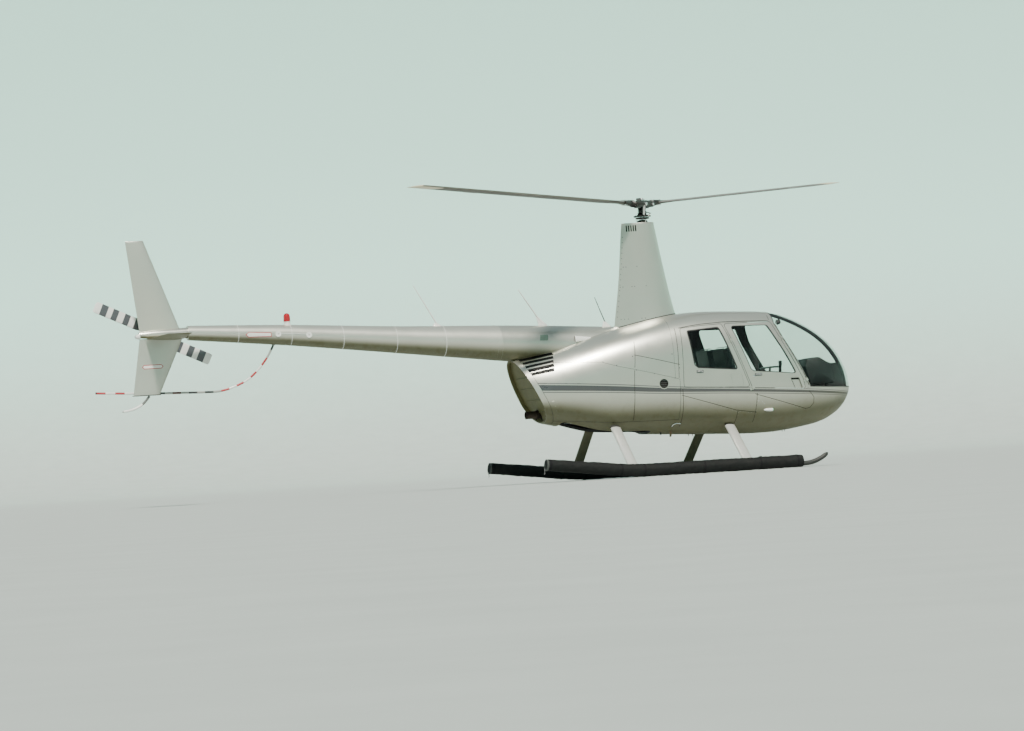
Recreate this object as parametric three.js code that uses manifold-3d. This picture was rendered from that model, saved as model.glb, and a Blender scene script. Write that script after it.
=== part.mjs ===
// Light four-seat helicopter on skids with stowed emergency floats, parked.
// Frame: +X to the nose, +Y to port, +Z up, millimetres. Until the last line, x = 0 is the main
// rotor mast, y = 0 the plane of symmetry and z = 0 the ground under the skids.
import * as THREE from 'three';
import { mergeVertices } from 'three/addons/utils/BufferGeometryUtils.js';
import Module from 'manifold-3d';

const wasm = await Module();
wasm.setup();

// ---------------------------------------------------------------- driving dimensions
const ORIGIN_SHIFT_X = 1405.4;     // moves the middle of the whole outline to x = 0
const WALL = 28;                  // thickness of the cabin wall and of a door
const PANE = 8;                   // glazing thickness
const GAP = 0.4;                  // joint between two fixed panels
const DOOR_GAP = 6;               // joint round a door
const SECTION_POINTS = 28;        // points round a fuselage section

const ROTOR_R = 5030, ROTOR_CHORD = 256, BLADE_THICK = 30;
const HUB_Z = 3190, MAST_R = 32;
const ROTOR_AZIMUTH = 222;        // degrees from +X of the blade that points aft and to starboard
const CONE_NEAR = 1.2, CONE_FAR = 4.0;   // degrees each blade is raised
const TAIL_R = 737, TAIL_CHORD = 130, TAIL_HUB = [-5893, 272, 1976], TAIL_TILT = 25;

const SKID_Y = 1067, SKID_TUBE_R = 32, PACK_R = 76, PACK_Z = 76;
const PACK_FRONT_X = 1390, PACK_BEND_X = -645, PACK_REAR_X = -1725, PACK_REAR_Z = 205;

// ---------------------------------------------------------------- solids
function solid(geometry) {
  const g = geometry.index ? geometry.clone() : geometry;
  for (const a of Object.keys(g.attributes)) if (a !== 'position') g.deleteAttribute(a);
  const m = mergeVertices(g, 1e-3);
  return new wasm.Manifold(new wasm.Mesh({
    numProp: 3,
    vertProperties: new Float32Array(m.attributes.position.array),
    triVerts: new Uint32Array(m.index.array),
  }));
}
function geometryOf(manifold) {
  const m = manifold.getMesh();
  const g = new THREE.BufferGeometry();
  g.setAttribute('position', new THREE.BufferAttribute(new Float32Array(m.vertProperties), 3));
  g.setIndex(Array.from(m.triVerts));
  return g;
}
// Rings of equally many points, joined in order and closed at both ends.
function loft(rings) {
  const n = rings[0].length, pos = [], idx = [];
  for (const ring of rings) for (const p of ring) pos.push(...p);
  for (let i = 0; i + 1 < rings.length; i++) for (let j = 0; j < n; j++) {
    const a = i * n + j, b = i * n + (j + 1) % n, c = a + n, d = b + n;
    idx.push(a, b, d, a, d, c);
  }
  for (const [k, flip] of [[0, true], [rings.length - 1, false]]) {
    const mid = rings[k].reduce((s, p) => [s[0] + p[0] / n, s[1] + p[1] / n, s[2] + p[2] / n], [0, 0, 0]);
    const m = pos.length / 3;
    pos.push(...mid);
    for (let j = 0; j < n; j++) {
      const a = k * n + j, b = k * n + (j + 1) % n;
      idx.push(...(flip ? [m, b, a] : [m, a, b]));
    }
  }
  const g = new THREE.BufferGeometry();
  g.setAttribute('position', new THREE.Float32BufferAttribute(pos, 3));
  g.setIndex(idx);
  let s = solid(g);
  if (s.volume() < 0) {
    g.setIndex(idx.reduce((o, v, i) => (i % 3 === 2 ? (o.push(idx[i - 2], v, idx[i - 1]), o) : o), []));
    s = solid(g);
  }
  return s;
}
function shapeOf(points) {
  return new THREE.Shape(points.map(([a, b]) => new THREE.Vector2(a, b)));
}
// A side-view outline of (x, z) points as a prism from y0 to y1.
function prismY(points, y0, y1) {
  const g = new THREE.ExtrudeGeometry(shapeOf(points), { depth: y1 - y0, bevelEnabled: false });
  g.rotateX(Math.PI / 2);
  g.translate(0, y1, 0);
  return solid(g);
}
// A plan outline of (x, y) points as a prism from z0 to z1.
function prismZ(points, z0, z1) {
  const g = new THREE.ExtrudeGeometry(shapeOf(points), { depth: z1 - z0, bevelEnabled: false });
  g.translate(0, 0, z0);
  return solid(g);
}
function box(x0, x1, y0, y1, z0, z1) {
  const g = new THREE.BoxGeometry(x1 - x0, y1 - y0, z1 - z0);
  g.translate((x0 + x1) / 2, (y0 + y1) / 2, (z0 + z1) / 2);
  return solid(g);
}
// A round bar from a to b, with an end radius each.
function bar(a, b, r0, r1 = r0, sides = 12) {
  const A = new THREE.Vector3(...a), B = new THREE.Vector3(...b);
  const g = new THREE.CylinderGeometry(r1, r0, A.distanceTo(B), sides);
  g.applyQuaternion(new THREE.Quaternion().setFromUnitVectors(new THREE.Vector3(0, 1, 0), B.clone().sub(A).normalize()));
  g.translate(...A.add(B).multiplyScalar(0.5).toArray());
  return solid(g);
}
// A tube of round section along a smooth path.
function tube(points, r, steps, sides = 10) {
  const path = new THREE.CatmullRomCurve3(points.map((p) => new THREE.Vector3(...p)), false, 'centripetal');
  const ring = Array.from({ length: sides }, (_, i) => [r * Math.cos(2 * Math.PI * i / sides), r * Math.sin(2 * Math.PI * i / sides)]);
  return solid(new THREE.ExtrudeGeometry(shapeOf(ring), { steps, extrudePath: path, bevelEnabled: false }));
}
const join = (list) => list.reduce((a, b) => a.add(b));
// Cuts b out of a with a narrow gap all round it.
const STEPS = [[GAP, 0, 0], [-GAP, 0, 0], [0, GAP, 0], [0, -GAP, 0], [0, 0, GAP], [0, 0, -GAP]];
const clear = (a, b) => STEPS.reduce((s, v) => s.subtract(b.translate(v)), a);
// Moves each side of a counter-clockwise or clockwise outline outwards by d.
function grow(points, d) {
  const area = points.reduce((s, p, i) => { const q = points[(i + 1) % points.length]; return s + p[0] * q[1] - q[0] * p[1]; }, 0);
  const k = area > 0 ? d : -d, n = points.length;
  return points.map((p, i) => {
    const a = points[(i + n - 1) % n], b = points[(i + 1) % n];
    const u = new THREE.Vector2(p[0] - a[0], p[1] - a[1]).normalize(), v = new THREE.Vector2(b[0] - p[0], b[1] - p[1]).normalize();
    const m = new THREE.Vector2(u.y + v.y, -u.x - v.x), c = 1 + u.dot(v);
    return [p[0] + m.x * k / c, p[1] + m.y * k / c];
  });
}

// ---------------------------------------------------------------- fuselage form
// One row per section, nose to tail. A section lies in a plane through (xBottom, zBottom) and
// (xTop, zTop); its width is greatest at zWide; nUp and nLow square off its upper and lower half.
const SECTIONS = [
  // xBottom, zBottom, xTop, zTop, halfWidth, zWide, nUp, nLow
  [2420, 884, 2420, 960, 46, 925, 2.0, 2.0],
  [2398, 822, 2398, 1090, 172, 930, 2.0, 2.0],
  [2336, 714, 2336, 1250, 295, 940, 2.1, 2.0],
  [2216, 608, 2216, 1424, 402, 950, 2.3, 2.1],
  [2046, 528, 2046, 1576, 490, 960, 2.5, 2.2],
  [1800, 477, 1800, 1720, 562, 970, 2.8, 2.3],
  [1500, 440, 1500, 1832, 609, 980, 3.1, 2.4],
  [1150, 433, 1150, 1870, 634, 1000, 3.4, 2.5],
  [750, 450, 750, 1888, 640, 1000, 3.6, 2.5],
  [350, 468, 350, 1884, 640, 1020, 3.6, 2.5],
  [0, 488, 0, 1836, 635, 1030, 3.5, 2.5],
  [-400, 506, -400, 1752, 616, 1040, 3.3, 2.5],
  [-760, 532, -840, 1655, 572, 1020, 2.9, 2.4],
  [-1040, 600, -1220, 1556, 510, 1000, 2.5, 2.25],
  [-1240, 652, -1500, 1492, 455, 975, 2.2, 2.1],
  [-1391, 688, -1745, 1440, 400, 950, 2.0, 2.0],
];
const NOSE_X = 2424, NOSE_REF = 1150, TAIL_REF = -760, TAIL_END = -1391;

// The fuselage with its surface moved inwards by d.
function fuselage(d) {
  const rings = SECTIONS.map(([xb, zb, xt, zt, hw, zw, nu, nl]) => {
    let shift = 0;
    if (xb > NOSE_REF) shift = -d * (xb - NOSE_REF) / (NOSE_X - NOSE_REF);
    if (xb < TAIL_REF) shift = d * (TAIL_REF - xb) / (TAIL_REF - TAIL_END);
    const b = Math.max(hw - d, hw * 0.35), up = Math.max(zt - zw - d, (zt - zw) * 0.35), low = Math.max(zw - zb - d, (zw - zb) * 0.35);
    return Array.from({ length: SECTION_POINTS }, (_, i) => {
      const a = 2 * Math.PI * i / SECTION_POINTS, c = Math.cos(a), s = Math.sin(a);
      const n = s >= 0 ? nu : nl;
      const y = b * Math.sign(c) * Math.abs(c) ** (2 / n);
      const z = zw + (s >= 0 ? up : low) * Math.sign(s) * Math.abs(s) ** (2 / n);
      return [xb + shift + (xt - xb) * (z - zb) / (zt - zb), y, z];
    });
  });
  return loft(rings);
}
const outer = fuselage(0), inner = fuselage(WALL), lining = fuselage(WALL + GAP), paneInner = fuselage(PANE);

// Side-view outlines, (x, z).
const WINDSHIELD = [[1420, 2100], [1370, 1708], [1446, 1522], [1605, 1241], [1680, 1101], [1754, 938], [2000, 926], [2600, 905], [2700, 2100]];
const FRONT_DOOR = [[716, 1728], [1326, 1726], [1411, 1523], [1572, 1219], [1663, 1040], [1692, 917], [1002, 957]];
const REAR_DOOR = [[176, 1698], [440, 1720], [700, 1728], [982, 969], [154, 1005]];
const FRONT_WINDOW = [[803, 1690], [1264, 1680], [1364, 1501], [1450, 1350], [1556, 1140], [1540, 1108], [1338, 1128], [1030, 1158], [1000, 1180]];
const REAR_WINDOW = [[254, 1664], [652, 1690], [838, 1182], [347, 1225], [303, 1260]];
const COWL = [[112, 1106], [-188, 1188], [-441, 1252], [-639, 1299], [-795, 1352], [-1284, 1382], [-1900, 1382], [-1900, 745], [-1200, 700], [-700, 650], [110, 640]];
const REAR_FACE = [[-1250, 400], [-1325, 700], [-1680, 1440], [-1640, 1700], [-2200, 1700], [-2200, 400]];
const CABIN_TOP = [[60, 1090], [60, 1012], [154, 1005], [982, 969], [1002, 957], [1692, 917], [1754, 930], [2600, 895], [2600, 2200], [60, 2200]];
const AFT_TOP = [[60, 1050], [60, 2200], [-2200, 2200], [-2200, 1000], [-1300, 1000]];
const BELLY_OUTLET = [[-1230, -260], [-1230, 260], [-150, 300], [-150, -300]];

const HUGE = 1500;
const whole = (outline, d = 0) => prismY(grow(outline, d), -HUGE, HUGE);
const side = (outline, s, d = 0) => (s > 0 ? prismY(grow(outline, d), 30, HUGE) : prismY(grow(outline, d), -HUGE, -30));

let shell = outer.subtract(inner);
const SIDES = [['left', 1], ['right', -1]];
const pieces = {};

// doors and their windows
for (const [name, s] of SIDES) for (const [which, outline, window] of [['front', FRONT_DOOR, FRONT_WINDOW], ['rear', REAR_DOOR, REAR_WINDOW]]) {
  pieces[`${which}_door_${name}`] = shell.intersect(side(outline, s, -DOOR_GAP)).subtract(side(window, s, GAP));
  pieces[`${which}_window_${name}`] = outer.subtract(paneInner).intersect(side(window, s));
}
// windshield halves either side of the bow
const BOW_HALF = 22;
for (const [name, s] of SIDES) {
  const half = s > 0 ? box(1200, 2700, BOW_HALF + GAP, HUGE, 0, 2600) : box(1200, 2700, -HUGE, -BOW_HALF - GAP, 0, 2600);
  pieces[`windshield_${name}`] = outer.subtract(paneInner).intersect(whole(WINDSHIELD)).intersect(half);
}
const bow = outer.subtract(inner).intersect(whole(WINDSHIELD, GAP + 1)).intersect(box(1200, 2700, -BOW_HALF, BOW_HALF, 0, 2600));
for (const s of [1, -1]) for (const outline of [FRONT_DOOR, REAR_DOOR]) shell = shell.subtract(side(outline, s));
// The jambs are relieved along the path of each door as it swings about its two hinges.
const HINGES = [
  // door outline, lower hinge, upper hinge: x, distance from the middle, z
  [FRONT_DOOR, [1697, 592, 1014], [1420, 579, 1523]],
  [REAR_DOOR, [999, 647, 954], [770, 622, 1522]],
];
const SWING = [1.5, 3, 5, 7, 11, 15, 20, 25, 31, 37, 44, 52];
const thickDoor = fuselage(-5).subtract(fuselage(WALL + 5));
for (const s of [1, -1]) for (const [outline, lower, upper] of HINGES) {
  const door = thickDoor.intersect(side(outline, s, 0.5));
  const from = new THREE.Vector3(lower[0], s * lower[1], lower[2]), to = new THREE.Vector3(upper[0], s * upper[1], upper[2]);
  const axis = to.sub(from).normalize().multiplyScalar(-s);
  for (const angle of SWING) shell = shell.subtract(door.transform(
    new THREE.Matrix4().makeTranslation(from).multiply(new THREE.Matrix4().makeRotationAxis(axis, angle * Math.PI / 180)).multiply(new THREE.Matrix4().makeTranslation(from.clone().negate())).elements,
  ));
}
shell = shell.subtract(whole(WINDSHIELD, GAP)).add(bow);
// engine cowls, rear cowl, deck, cabin top and belly hull
for (const [name, s] of SIDES) pieces[`engine_cowl_${name}`] = shell.intersect(side(COWL, s)).subtract(whole(REAR_FACE, GAP));
shell = shell.subtract(side(COWL, 1, GAP)).subtract(side(COWL, -1, GAP));
const TAILPIPE = [[-1200, 60, 795], [-1640, 60, 795]];
pieces.rear_cowl = shell.intersect(whole(REAR_FACE)).subtract(bar(...TAILPIPE, 62));
shell = shell.subtract(whole(REAR_FACE, GAP));
pieces.cabin_top = shell.intersect(whole(CABIN_TOP));
pieces.aft_deck = shell.intersect(whole(AFT_TOP, -GAP));
pieces.belly_hull = shell.subtract(whole(CABIN_TOP, GAP)).subtract(whole(AFT_TOP)).subtract(prismZ(BELLY_OUTLET, 300, 720));

// ---------------------------------------------------------------- cabin
const FLOOR_Z = 600, SEAT_Z = 900;
const floor = lining.intersect(box(90, 2180, -HUGE, HUGE, FLOOR_Z - 20, FLOOR_Z));
const frontBoxes = SIDES.map(([, s]) => lining.intersect(s > 0 ? box(800, 1300, 60, 500, FLOOR_Z - 1, SEAT_Z) : box(800, 1300, -500, -60, FLOOR_Z - 1, SEAT_Z)));
const rearBox = lining.intersect(box(120, 560, -560, 560, FLOOR_Z - 1, SEAT_Z + 30));
pieces.cabin_floor = join([floor, ...frontBoxes, rearBox]);
pieces.firewall = lining.intersect(prismY([[84, FLOOR_Z - 20], [112, FLOOR_Z - 20], [40, 1900], [12, 1900]].map(([x, z]) => [x - (z > 600 ? 0 : 2), z]), -HUGE, HUGE)).subtract(pieces.cabin_floor);
const seat = (x0, z0, length, back, lean) => [
  [x0, z0 + GAP], [x0 + length, z0 + GAP], [x0 + length + 15, z0 + 80], [x0 + 130, z0 + 90],
  [x0 + 110 - lean, z0 + back], [x0 - lean, z0 + back],
];
for (const [name, s] of SIDES) {
  const [y0, y1] = s > 0 ? [70, 490] : [-490, -70];
  pieces[`front_seat_${name}`] = prismY(seat(800, SEAT_Z, 480, 560, 90), y0, y1);
  pieces[`rear_seat_${name}`] = prismY(seat(150, SEAT_Z + 30, 400, 520, 55), s > 0 ? 12 : -540, s > 0 ? 540 : -12);
}
pieces.instrument_console = join([
  prismY([[1900, FLOOR_Z + GAP], [2120, FLOOR_Z + GAP], [2200, 1000], [1960, 1000]], -85, 85),
  prismY([[1905, 960], [2270, 960], [2190, 1200], [2040, 1290], [1880, 1270], [1850, 1180]], -190, 190),
]).intersect(lining);
pieces.cyclic_stick = join([
  bar([1440, 0, FLOOR_Z + 3], [1480, 0, 1190], 17),
  bar([1480, -330, 1190], [1480, 330, 1190], 13),
  bar([1480, -330, 1150], [1490, -330, 1260], 20), bar([1480, 330, 1150], [1490, 330, 1260], 20),
]);
for (const [name, s] of SIDES) pieces[`pedals_${name}`] = join([
  bar([1860, s * 110, 660], [1860, s * 330, 660], 12),
  ...[140, 290].map((y) => prismY([[1850, 655], [1870, 655], [1890, 790], [1872, 790]], s * y - 35, s * y + 35)),
]);

// ---------------------------------------------------------------- engine, mast fairing
pieces.engine_block = box(-1050, -280, -300, 300, 735, 1140);
pieces.tailpipe = bar([-1080, 60, 795], [-1565, 60, 795], 45, 45, 16).subtract(bar([-1420, 60, 795], [-1700, 60, 795], 39, 39, 16));
// one row per level: z, xFront, xRear, halfWidth
const FAIRING = [
  [1700, 382, -440, 170], [1900, 327, -408, 142], [2150, 272, -366, 120], [2500, 208, -320, 104], [2850, 150, -282, 93], [2972, 130, -268, 88],
];
const mastFairing = loft(FAIRING.map(([z, xf, xr, hw]) => {
  const c = xf - xr;
  return [[0, 0], [0.04, 0.5], [0.14, 0.86], [0.32, 1], [0.6, 0.74], [0.85, 0.3], [1, 0.03]].flatMap(([t, w]) => [[xf - t * c, w * hw, z]])
    .concat([[1, 0.03], [0.85, 0.3], [0.6, 0.74], [0.32, 1], [0.14, 0.86], [0.04, 0.5]].map(([t, w]) => [xf - t * c, -w * hw, z]));
}));

// ---------------------------------------------------------------- tail
// one row per frame of the tailcone: x, centre z, radius
const CONE = [[-420, 1533, 236], [-1280, 1603, 222], [-1870, 1651, 205], [-3055, 1748, 157], [-4358, 1866, 119], [-5560, 1950, 83]];
const ringX = (x, z, r, n = 24, ry = r) => Array.from({ length: n }, (_, i) => [x, ry * Math.cos(2 * Math.PI * i / n), z + r * Math.sin(2 * Math.PI * i / n)]);
const cowlBody = fuselage(-GAP);
pieces.mast_fairing = mastFairing.subtract(cowlBody).subtract(bar([0, 0, 2750], [0, 0, 3100], 46));
pieces.spine_fairing = loft(CONE.slice(0, 3).map(([x, z, r]) => ringX(x, z, r))).subtract(cowlBody).subtract(mastFairing.add(bar([200, 0, 1700], [-300, 0, 1700], 10)));
const CONE_WALL = 6;
const coneOut = CONE.slice(2).map(([x, z, r], i) => ringX(x - (i ? 0 : GAP), z, r));
const coneIn = CONE.slice(2).map(([x, z, r], i) => ringX(x + (i === 3 ? 30 : i ? 0 : 40), z, r - CONE_WALL));
pieces.tailcone = loft(coneOut).subtract(loft(coneIn)).subtract(cowlBody);

// airfoil outline, chord along the first axis from 0 (nose) to -1, thickness along the second
const FOIL = [[0, 0], [-0.05, 0.36], [-0.3, 0.5], [-0.65, 0.33], [-1, 0.03], [-1, -0.03], [-0.65, -0.33], [-0.3, -0.5], [-0.05, -0.36]];
// rings of an airfoil; one row per end: leading edge x, trailing edge x, thickness, and the station
const finRings = (rows) => rows.map(([xl, xt, t, z, y = 0]) => FOIL.map(([a, b]) => [xl + a * (xl - xt), y + b * t, z]));
pieces.upper_fin = loft(finRings([[-5640, -6112, 46, 1990, 0], [-5800, -6160, 44, 2440, 0], [-6006, -6218, 38, 3020, 0]]));
pieces.lower_fin = loft(finRings([[-5612, -6116, 46, 1905, 0], [-5917, -6224, 38, 1266, 0]]));
pieces.tail_gearbox = join([
  loft([[-5500, 62, 62], [-5620, 66, 60], [-5800, 62, 58], [-5980, 52, 50], [-6120, 30, 34]].map(([x, w, h]) => ringX(x, 1952, h, 12, w))),
  bar([TAIL_HUB[0], 20, TAIL_HUB[2]], [TAIL_HUB[0], 175, TAIL_HUB[2]], 58, 40, 16),
]);
pieces.tail_gearbox = clear(pieces.tail_gearbox, loft(coneOut));
pieces.upper_fin = clear(pieces.upper_fin, join([pieces.tail_gearbox, loft(coneOut)]));
pieces.lower_fin = clear(pieces.lower_fin, join([pieces.tail_gearbox, loft(coneOut)]));
pieces.horizontal_stabilizer = clear(loft([[-5585, -6050, 44, -30, 1902], [-5760, -6030, 34, -1030, 1922]].map(([xl, xt, t, y, z]) => FOIL.map(([a, b]) => [xl + a * (xl - xt), y, z + b * t]))),
  join([pieces.tail_gearbox, pieces.lower_fin, pieces.upper_fin, loft(coneOut)]));
pieces.tail_guard = tube([[-4556, 0, 1768], [-4615, 8, 1659], [-4719, 26, 1521], [-4863, 43, 1392], [-5052, 61, 1307], [-5168, 68, 1277], [-5356, 70, 1270], [-5892, 70, 1285], [-6640, 70, 1323]], 13, 32, 8);
pieces.tail_skid = tube([[-6040, 0, 1258], [-6113, 0, 1180], [-6268, 0, 1110], [-6372, 0, 1095]], 16, 10, 8);
pieces.beacon = bar([-4380, 0, 1988], [-4380, 0, 2098], 52, 36, 12);
pieces.tail_light = bar([-6122, 0, 1935], [-6170, 0, 1930], 32, 18, 12);
for (const [name, a, b, r] of [
  ['rear_antenna', [-2585, 0, 1893], [-2852, 0, 2366], 8], ['middle_antenna', [-1300, 0, 1822], [-1584, 0, 2260], 13], ['front_antenna', [-520, 0, 1772], [-653, 0, 2127], 9],
]) pieces[name] = clear(join([bar(a, b, r, r * 0.5, 8), prismY([[a[0] + 60, a[2] - 12], [a[0] - 80, a[2] - 2], [a[0] - 40, a[2] + 45]], -9, 9)]),
  join([loft(coneOut), pieces.spine_fairing, mastFairing]));
pieces.beacon = clear(pieces.beacon, loft(coneOut));
pieces.tail_guard = clear(pieces.tail_guard, join([loft(coneOut), pieces.lower_fin]));
pieces.tail_skid = clear(pieces.tail_skid, pieces.lower_fin);
pieces.tail_light = clear(pieces.tail_light, join([pieces.tail_gearbox, pieces.lower_fin, pieces.upper_fin]));

// ---------------------------------------------------------------- skids and stowed floats
const STRUTS = [[-660, -654, 606], [742, 756, 556]];  // foot x, top x, top z
const STRUT_CHORD = 124, STRUT_THICK = 46, STRUT_TOP_Y = 440, STRUT_FOOT_Z = 92;
function strut(xf, xt, zt, s, d) {
  const A = new THREE.Vector3(xf, s * SKID_Y, STRUT_FOOT_Z), B = new THREE.Vector3(xt, s * STRUT_TOP_Y, zt);
  const axis = B.clone().sub(A).normalize(), n = new THREE.Vector3(1, 0, 0).cross(axis).normalize();
  A.addScaledVector(axis, -3 * d);
  return loft([A, B].map((p) => Array.from({ length: 12 }, (_, i) => {
    const a = 2 * Math.PI * i / 12;
    return [p.x + Math.cos(a) * (STRUT_CHORD / 2 + d), p.y + n.y * Math.sin(a) * (STRUT_THICK / 2 + d), p.z + n.z * Math.sin(a) * (STRUT_THICK / 2 + d)];
  })));
}
const skidPath = (s, d) => [[PACK_REAR_X + 30 - d, s * SKID_Y, PACK_REAR_Z - 25], [PACK_BEND_X, s * SKID_Y, 48], [PACK_FRONT_X + 10, s * SKID_Y, 45]];
function skidTubes(s, d) {
  const p = skidPath(s, d);
  const toe = tube([[1392, s * SKID_Y, 44], [1500, s * SKID_Y, 52], [1586, s * SKID_Y, 76], [1664, s * SKID_Y, 114], [1722, s * SKID_Y, 153]], SKID_TUBE_R - 4 + d, 9, 12);
  return join([bar(p[0], p[1], SKID_TUBE_R + d), bar(p[1], p[2], SKID_TUBE_R + d), solid(new THREE.SphereGeometry(SKID_TUBE_R + d, 12, 8).translate(...p[1])), toe]);
}
for (const [name, s] of SIDES) {
  const struts = (d) => join(STRUTS.map(([xf, xt, zt]) => strut(xf, xt, zt, s, d)));
  pieces[`skid_${name}`] = join([skidTubes(s, 0), struts(0)]).subtract(cowlBody);
  const c = [[PACK_REAR_X, s * SKID_Y, PACK_REAR_Z], [PACK_BEND_X, s * SKID_Y, PACK_Z], [PACK_FRONT_X, s * SKID_Y, PACK_Z]];
  const pack = join([bar(c[0], c[1], PACK_R - 8, PACK_R, 16), bar(c[1], c[2], PACK_R, PACK_R, 16)]);
  pieces[`float_pack_${name}`] = pack.intersect(box(-3000, 3000, -2000, 2000, 0, 1000)).subtract(skidTubes(s, 2 * GAP)).subtract(struts(2 * GAP));
}

// ---------------------------------------------------------------- main rotor
const rad = Math.PI / 180;
// one row per blade station: radius, chord, thickness
const BLADE = [[325, 70, 50], [420, 100, 44], [740, ROTOR_CHORD, BLADE_THICK], [ROTOR_R - 60, ROTOR_CHORD, BLADE_THICK - 4], [ROTOR_R, ROTOR_CHORD - 60, BLADE_THICK - 12]];
function blade(rows, cone, azimuth, centre) {
  const m = new THREE.Matrix4().makeTranslation(...centre).multiply(new THREE.Matrix4().makeRotationZ(azimuth * rad)).multiply(new THREE.Matrix4().makeRotationY(-cone * rad));
  const k = 1 / Math.cos(cone * rad);
  return loft(rows.map(([r, chord, t]) => FOIL.map(([a, b]) => new THREE.Vector3(r * k, (a + 0.3) * chord, b * t).applyMatrix4(m).toArray())));
}
pieces.rotor_hub = join([
  bar([0, 0, 2785], [0, 0, 3262], MAST_R, MAST_R, 16),
  bar([0, 0, 3130], [0, 0, 3205], 74, 74, 16),
  (() => {
    const g = new THREE.BoxGeometry(640, 108, 78).rotateZ(ROTOR_AZIMUTH * rad).translate(0, 0, HUB_Z);
    return solid(g);
  })(),
]);
pieces.main_blade_near = blade(BLADE, CONE_NEAR, ROTOR_AZIMUTH, [0, 0, HUB_Z]);
pieces.main_blade_far = blade(BLADE, CONE_FAR, ROTOR_AZIMUTH - 180, [0, 0, HUB_Z]);
pieces.swashplate = bar([0, 0, 3012], [0, 0, 3062], 88, 88, 20).subtract(bar([0, 0, 2900], [0, 0, 3100], MAST_R + GAP, MAST_R + GAP, 16));
pieces.main_blade_near = clear(pieces.main_blade_near, pieces.rotor_hub);
pieces.main_blade_far = clear(pieces.main_blade_far, pieces.rotor_hub);

// ---------------------------------------------------------------- tail rotor
const TAIL_BLADE = [[95, 60, 26], [200, TAIL_CHORD, 20], [TAIL_R - 20, TAIL_CHORD, 14], [TAIL_R, TAIL_CHORD - 40, 8]];
function tailBlade(flip) {
  const a = (TAIL_TILT + (flip ? 180 : 0)) * rad;
  return loft(TAIL_BLADE.map(([r, chord, t]) => FOIL.map(([u, v]) => {
    const lx = r, lz = (u + 0.3) * chord;
    return [TAIL_HUB[0] - lx * Math.cos(a) - lz * Math.sin(a), TAIL_HUB[1] + v * t, TAIL_HUB[2] + lx * Math.sin(a) - lz * Math.cos(a)];
  })));
}
pieces.tail_rotor_hub = join([
  bar([TAIL_HUB[0], 181, TAIL_HUB[2]], [TAIL_HUB[0], 300, TAIL_HUB[2]], 24, 22, 12),
  solid(new THREE.BoxGeometry(260, 44, 52).rotateY(TAIL_TILT * rad).translate(...TAIL_HUB)),
]);
pieces.tail_blade_aft = clear(tailBlade(false), pieces.tail_rotor_hub);
pieces.tail_blade_front = clear(tailBlade(true), pieces.tail_rotor_hub);

// ---------------------------------------------------------------- the assembly
// one row per finish: colour, roughness, metalness
const FINISH = {
  silver: [0x9da09a, 0.35, 0.6], dark: [0x1d1f20, 0.6, 0.1], glass: [0xc5d8d0, 0.1, 0], trim: [0xdadcd8, 0.4, 0.2],
  fabric: [0x1b1c1e, 0.9, 0], seat: [0x2a2b2d, 0.9, 0], steel: [0x8a8d8f, 0.35, 0.9], blade: [0x33332e, 0.5, 0], white: [0xe6e8e6, 0.4, 0], red: [0xb3202a, 0.3, 0],
};
const LOOK = {
  front_window: 'glass', rear_window: 'glass', windshield: 'glass', cabin_floor: 'dark', firewall: 'dark', front_seat: 'seat', rear_seat: 'seat',
  instrument_console: 'dark', cyclic_stick: 'dark', pedals: 'steel', engine_block: 'steel', tailpipe: 'steel', skid: 'trim', float_pack: 'fabric',
  rotor_hub: 'steel', main_blade: 'blade', swashplate: 'steel', tail_rotor_hub: 'steel', tail_blade: 'white', tail_guard: 'white', tail_skid: 'dark',
  beacon: 'red', tail_light: 'white', rear_antenna: 'white', middle_antenna: 'white', front_antenna: 'dark', tail_gearbox: 'steel',
};
const helicopter = new THREE.Group();
for (const [name, piece] of Object.entries(pieces)) {
  const parts = piece.decompose().filter((p) => p.volume() > 1000).sort((a, b) => b.volume() - a.volume());
  if (parts.length > 1) console.error(name, 'has', parts.length, 'bodies', parts.map((p) => Math.round(p.volume())).join(' '));
  const key = Object.keys(LOOK).filter((k) => name.startsWith(k)).sort((a, b) => b.length - a.length)[0];
  const [color, roughness, metalness] = FINISH[LOOK[key] || 'silver'];
  const mesh = new THREE.Mesh(geometryOf(parts[0]), new THREE.MeshStandardMaterial({ color, roughness, metalness }));
  mesh.name = name;
  helicopter.add(mesh);
}
helicopter.position.x = ORIGIN_SHIFT_X;

export default helicopter;
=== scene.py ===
import math

import bpy
import numpy as np
from mathutils import Matrix, Vector
from mathutils.bvhtree import BVHTree


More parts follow.
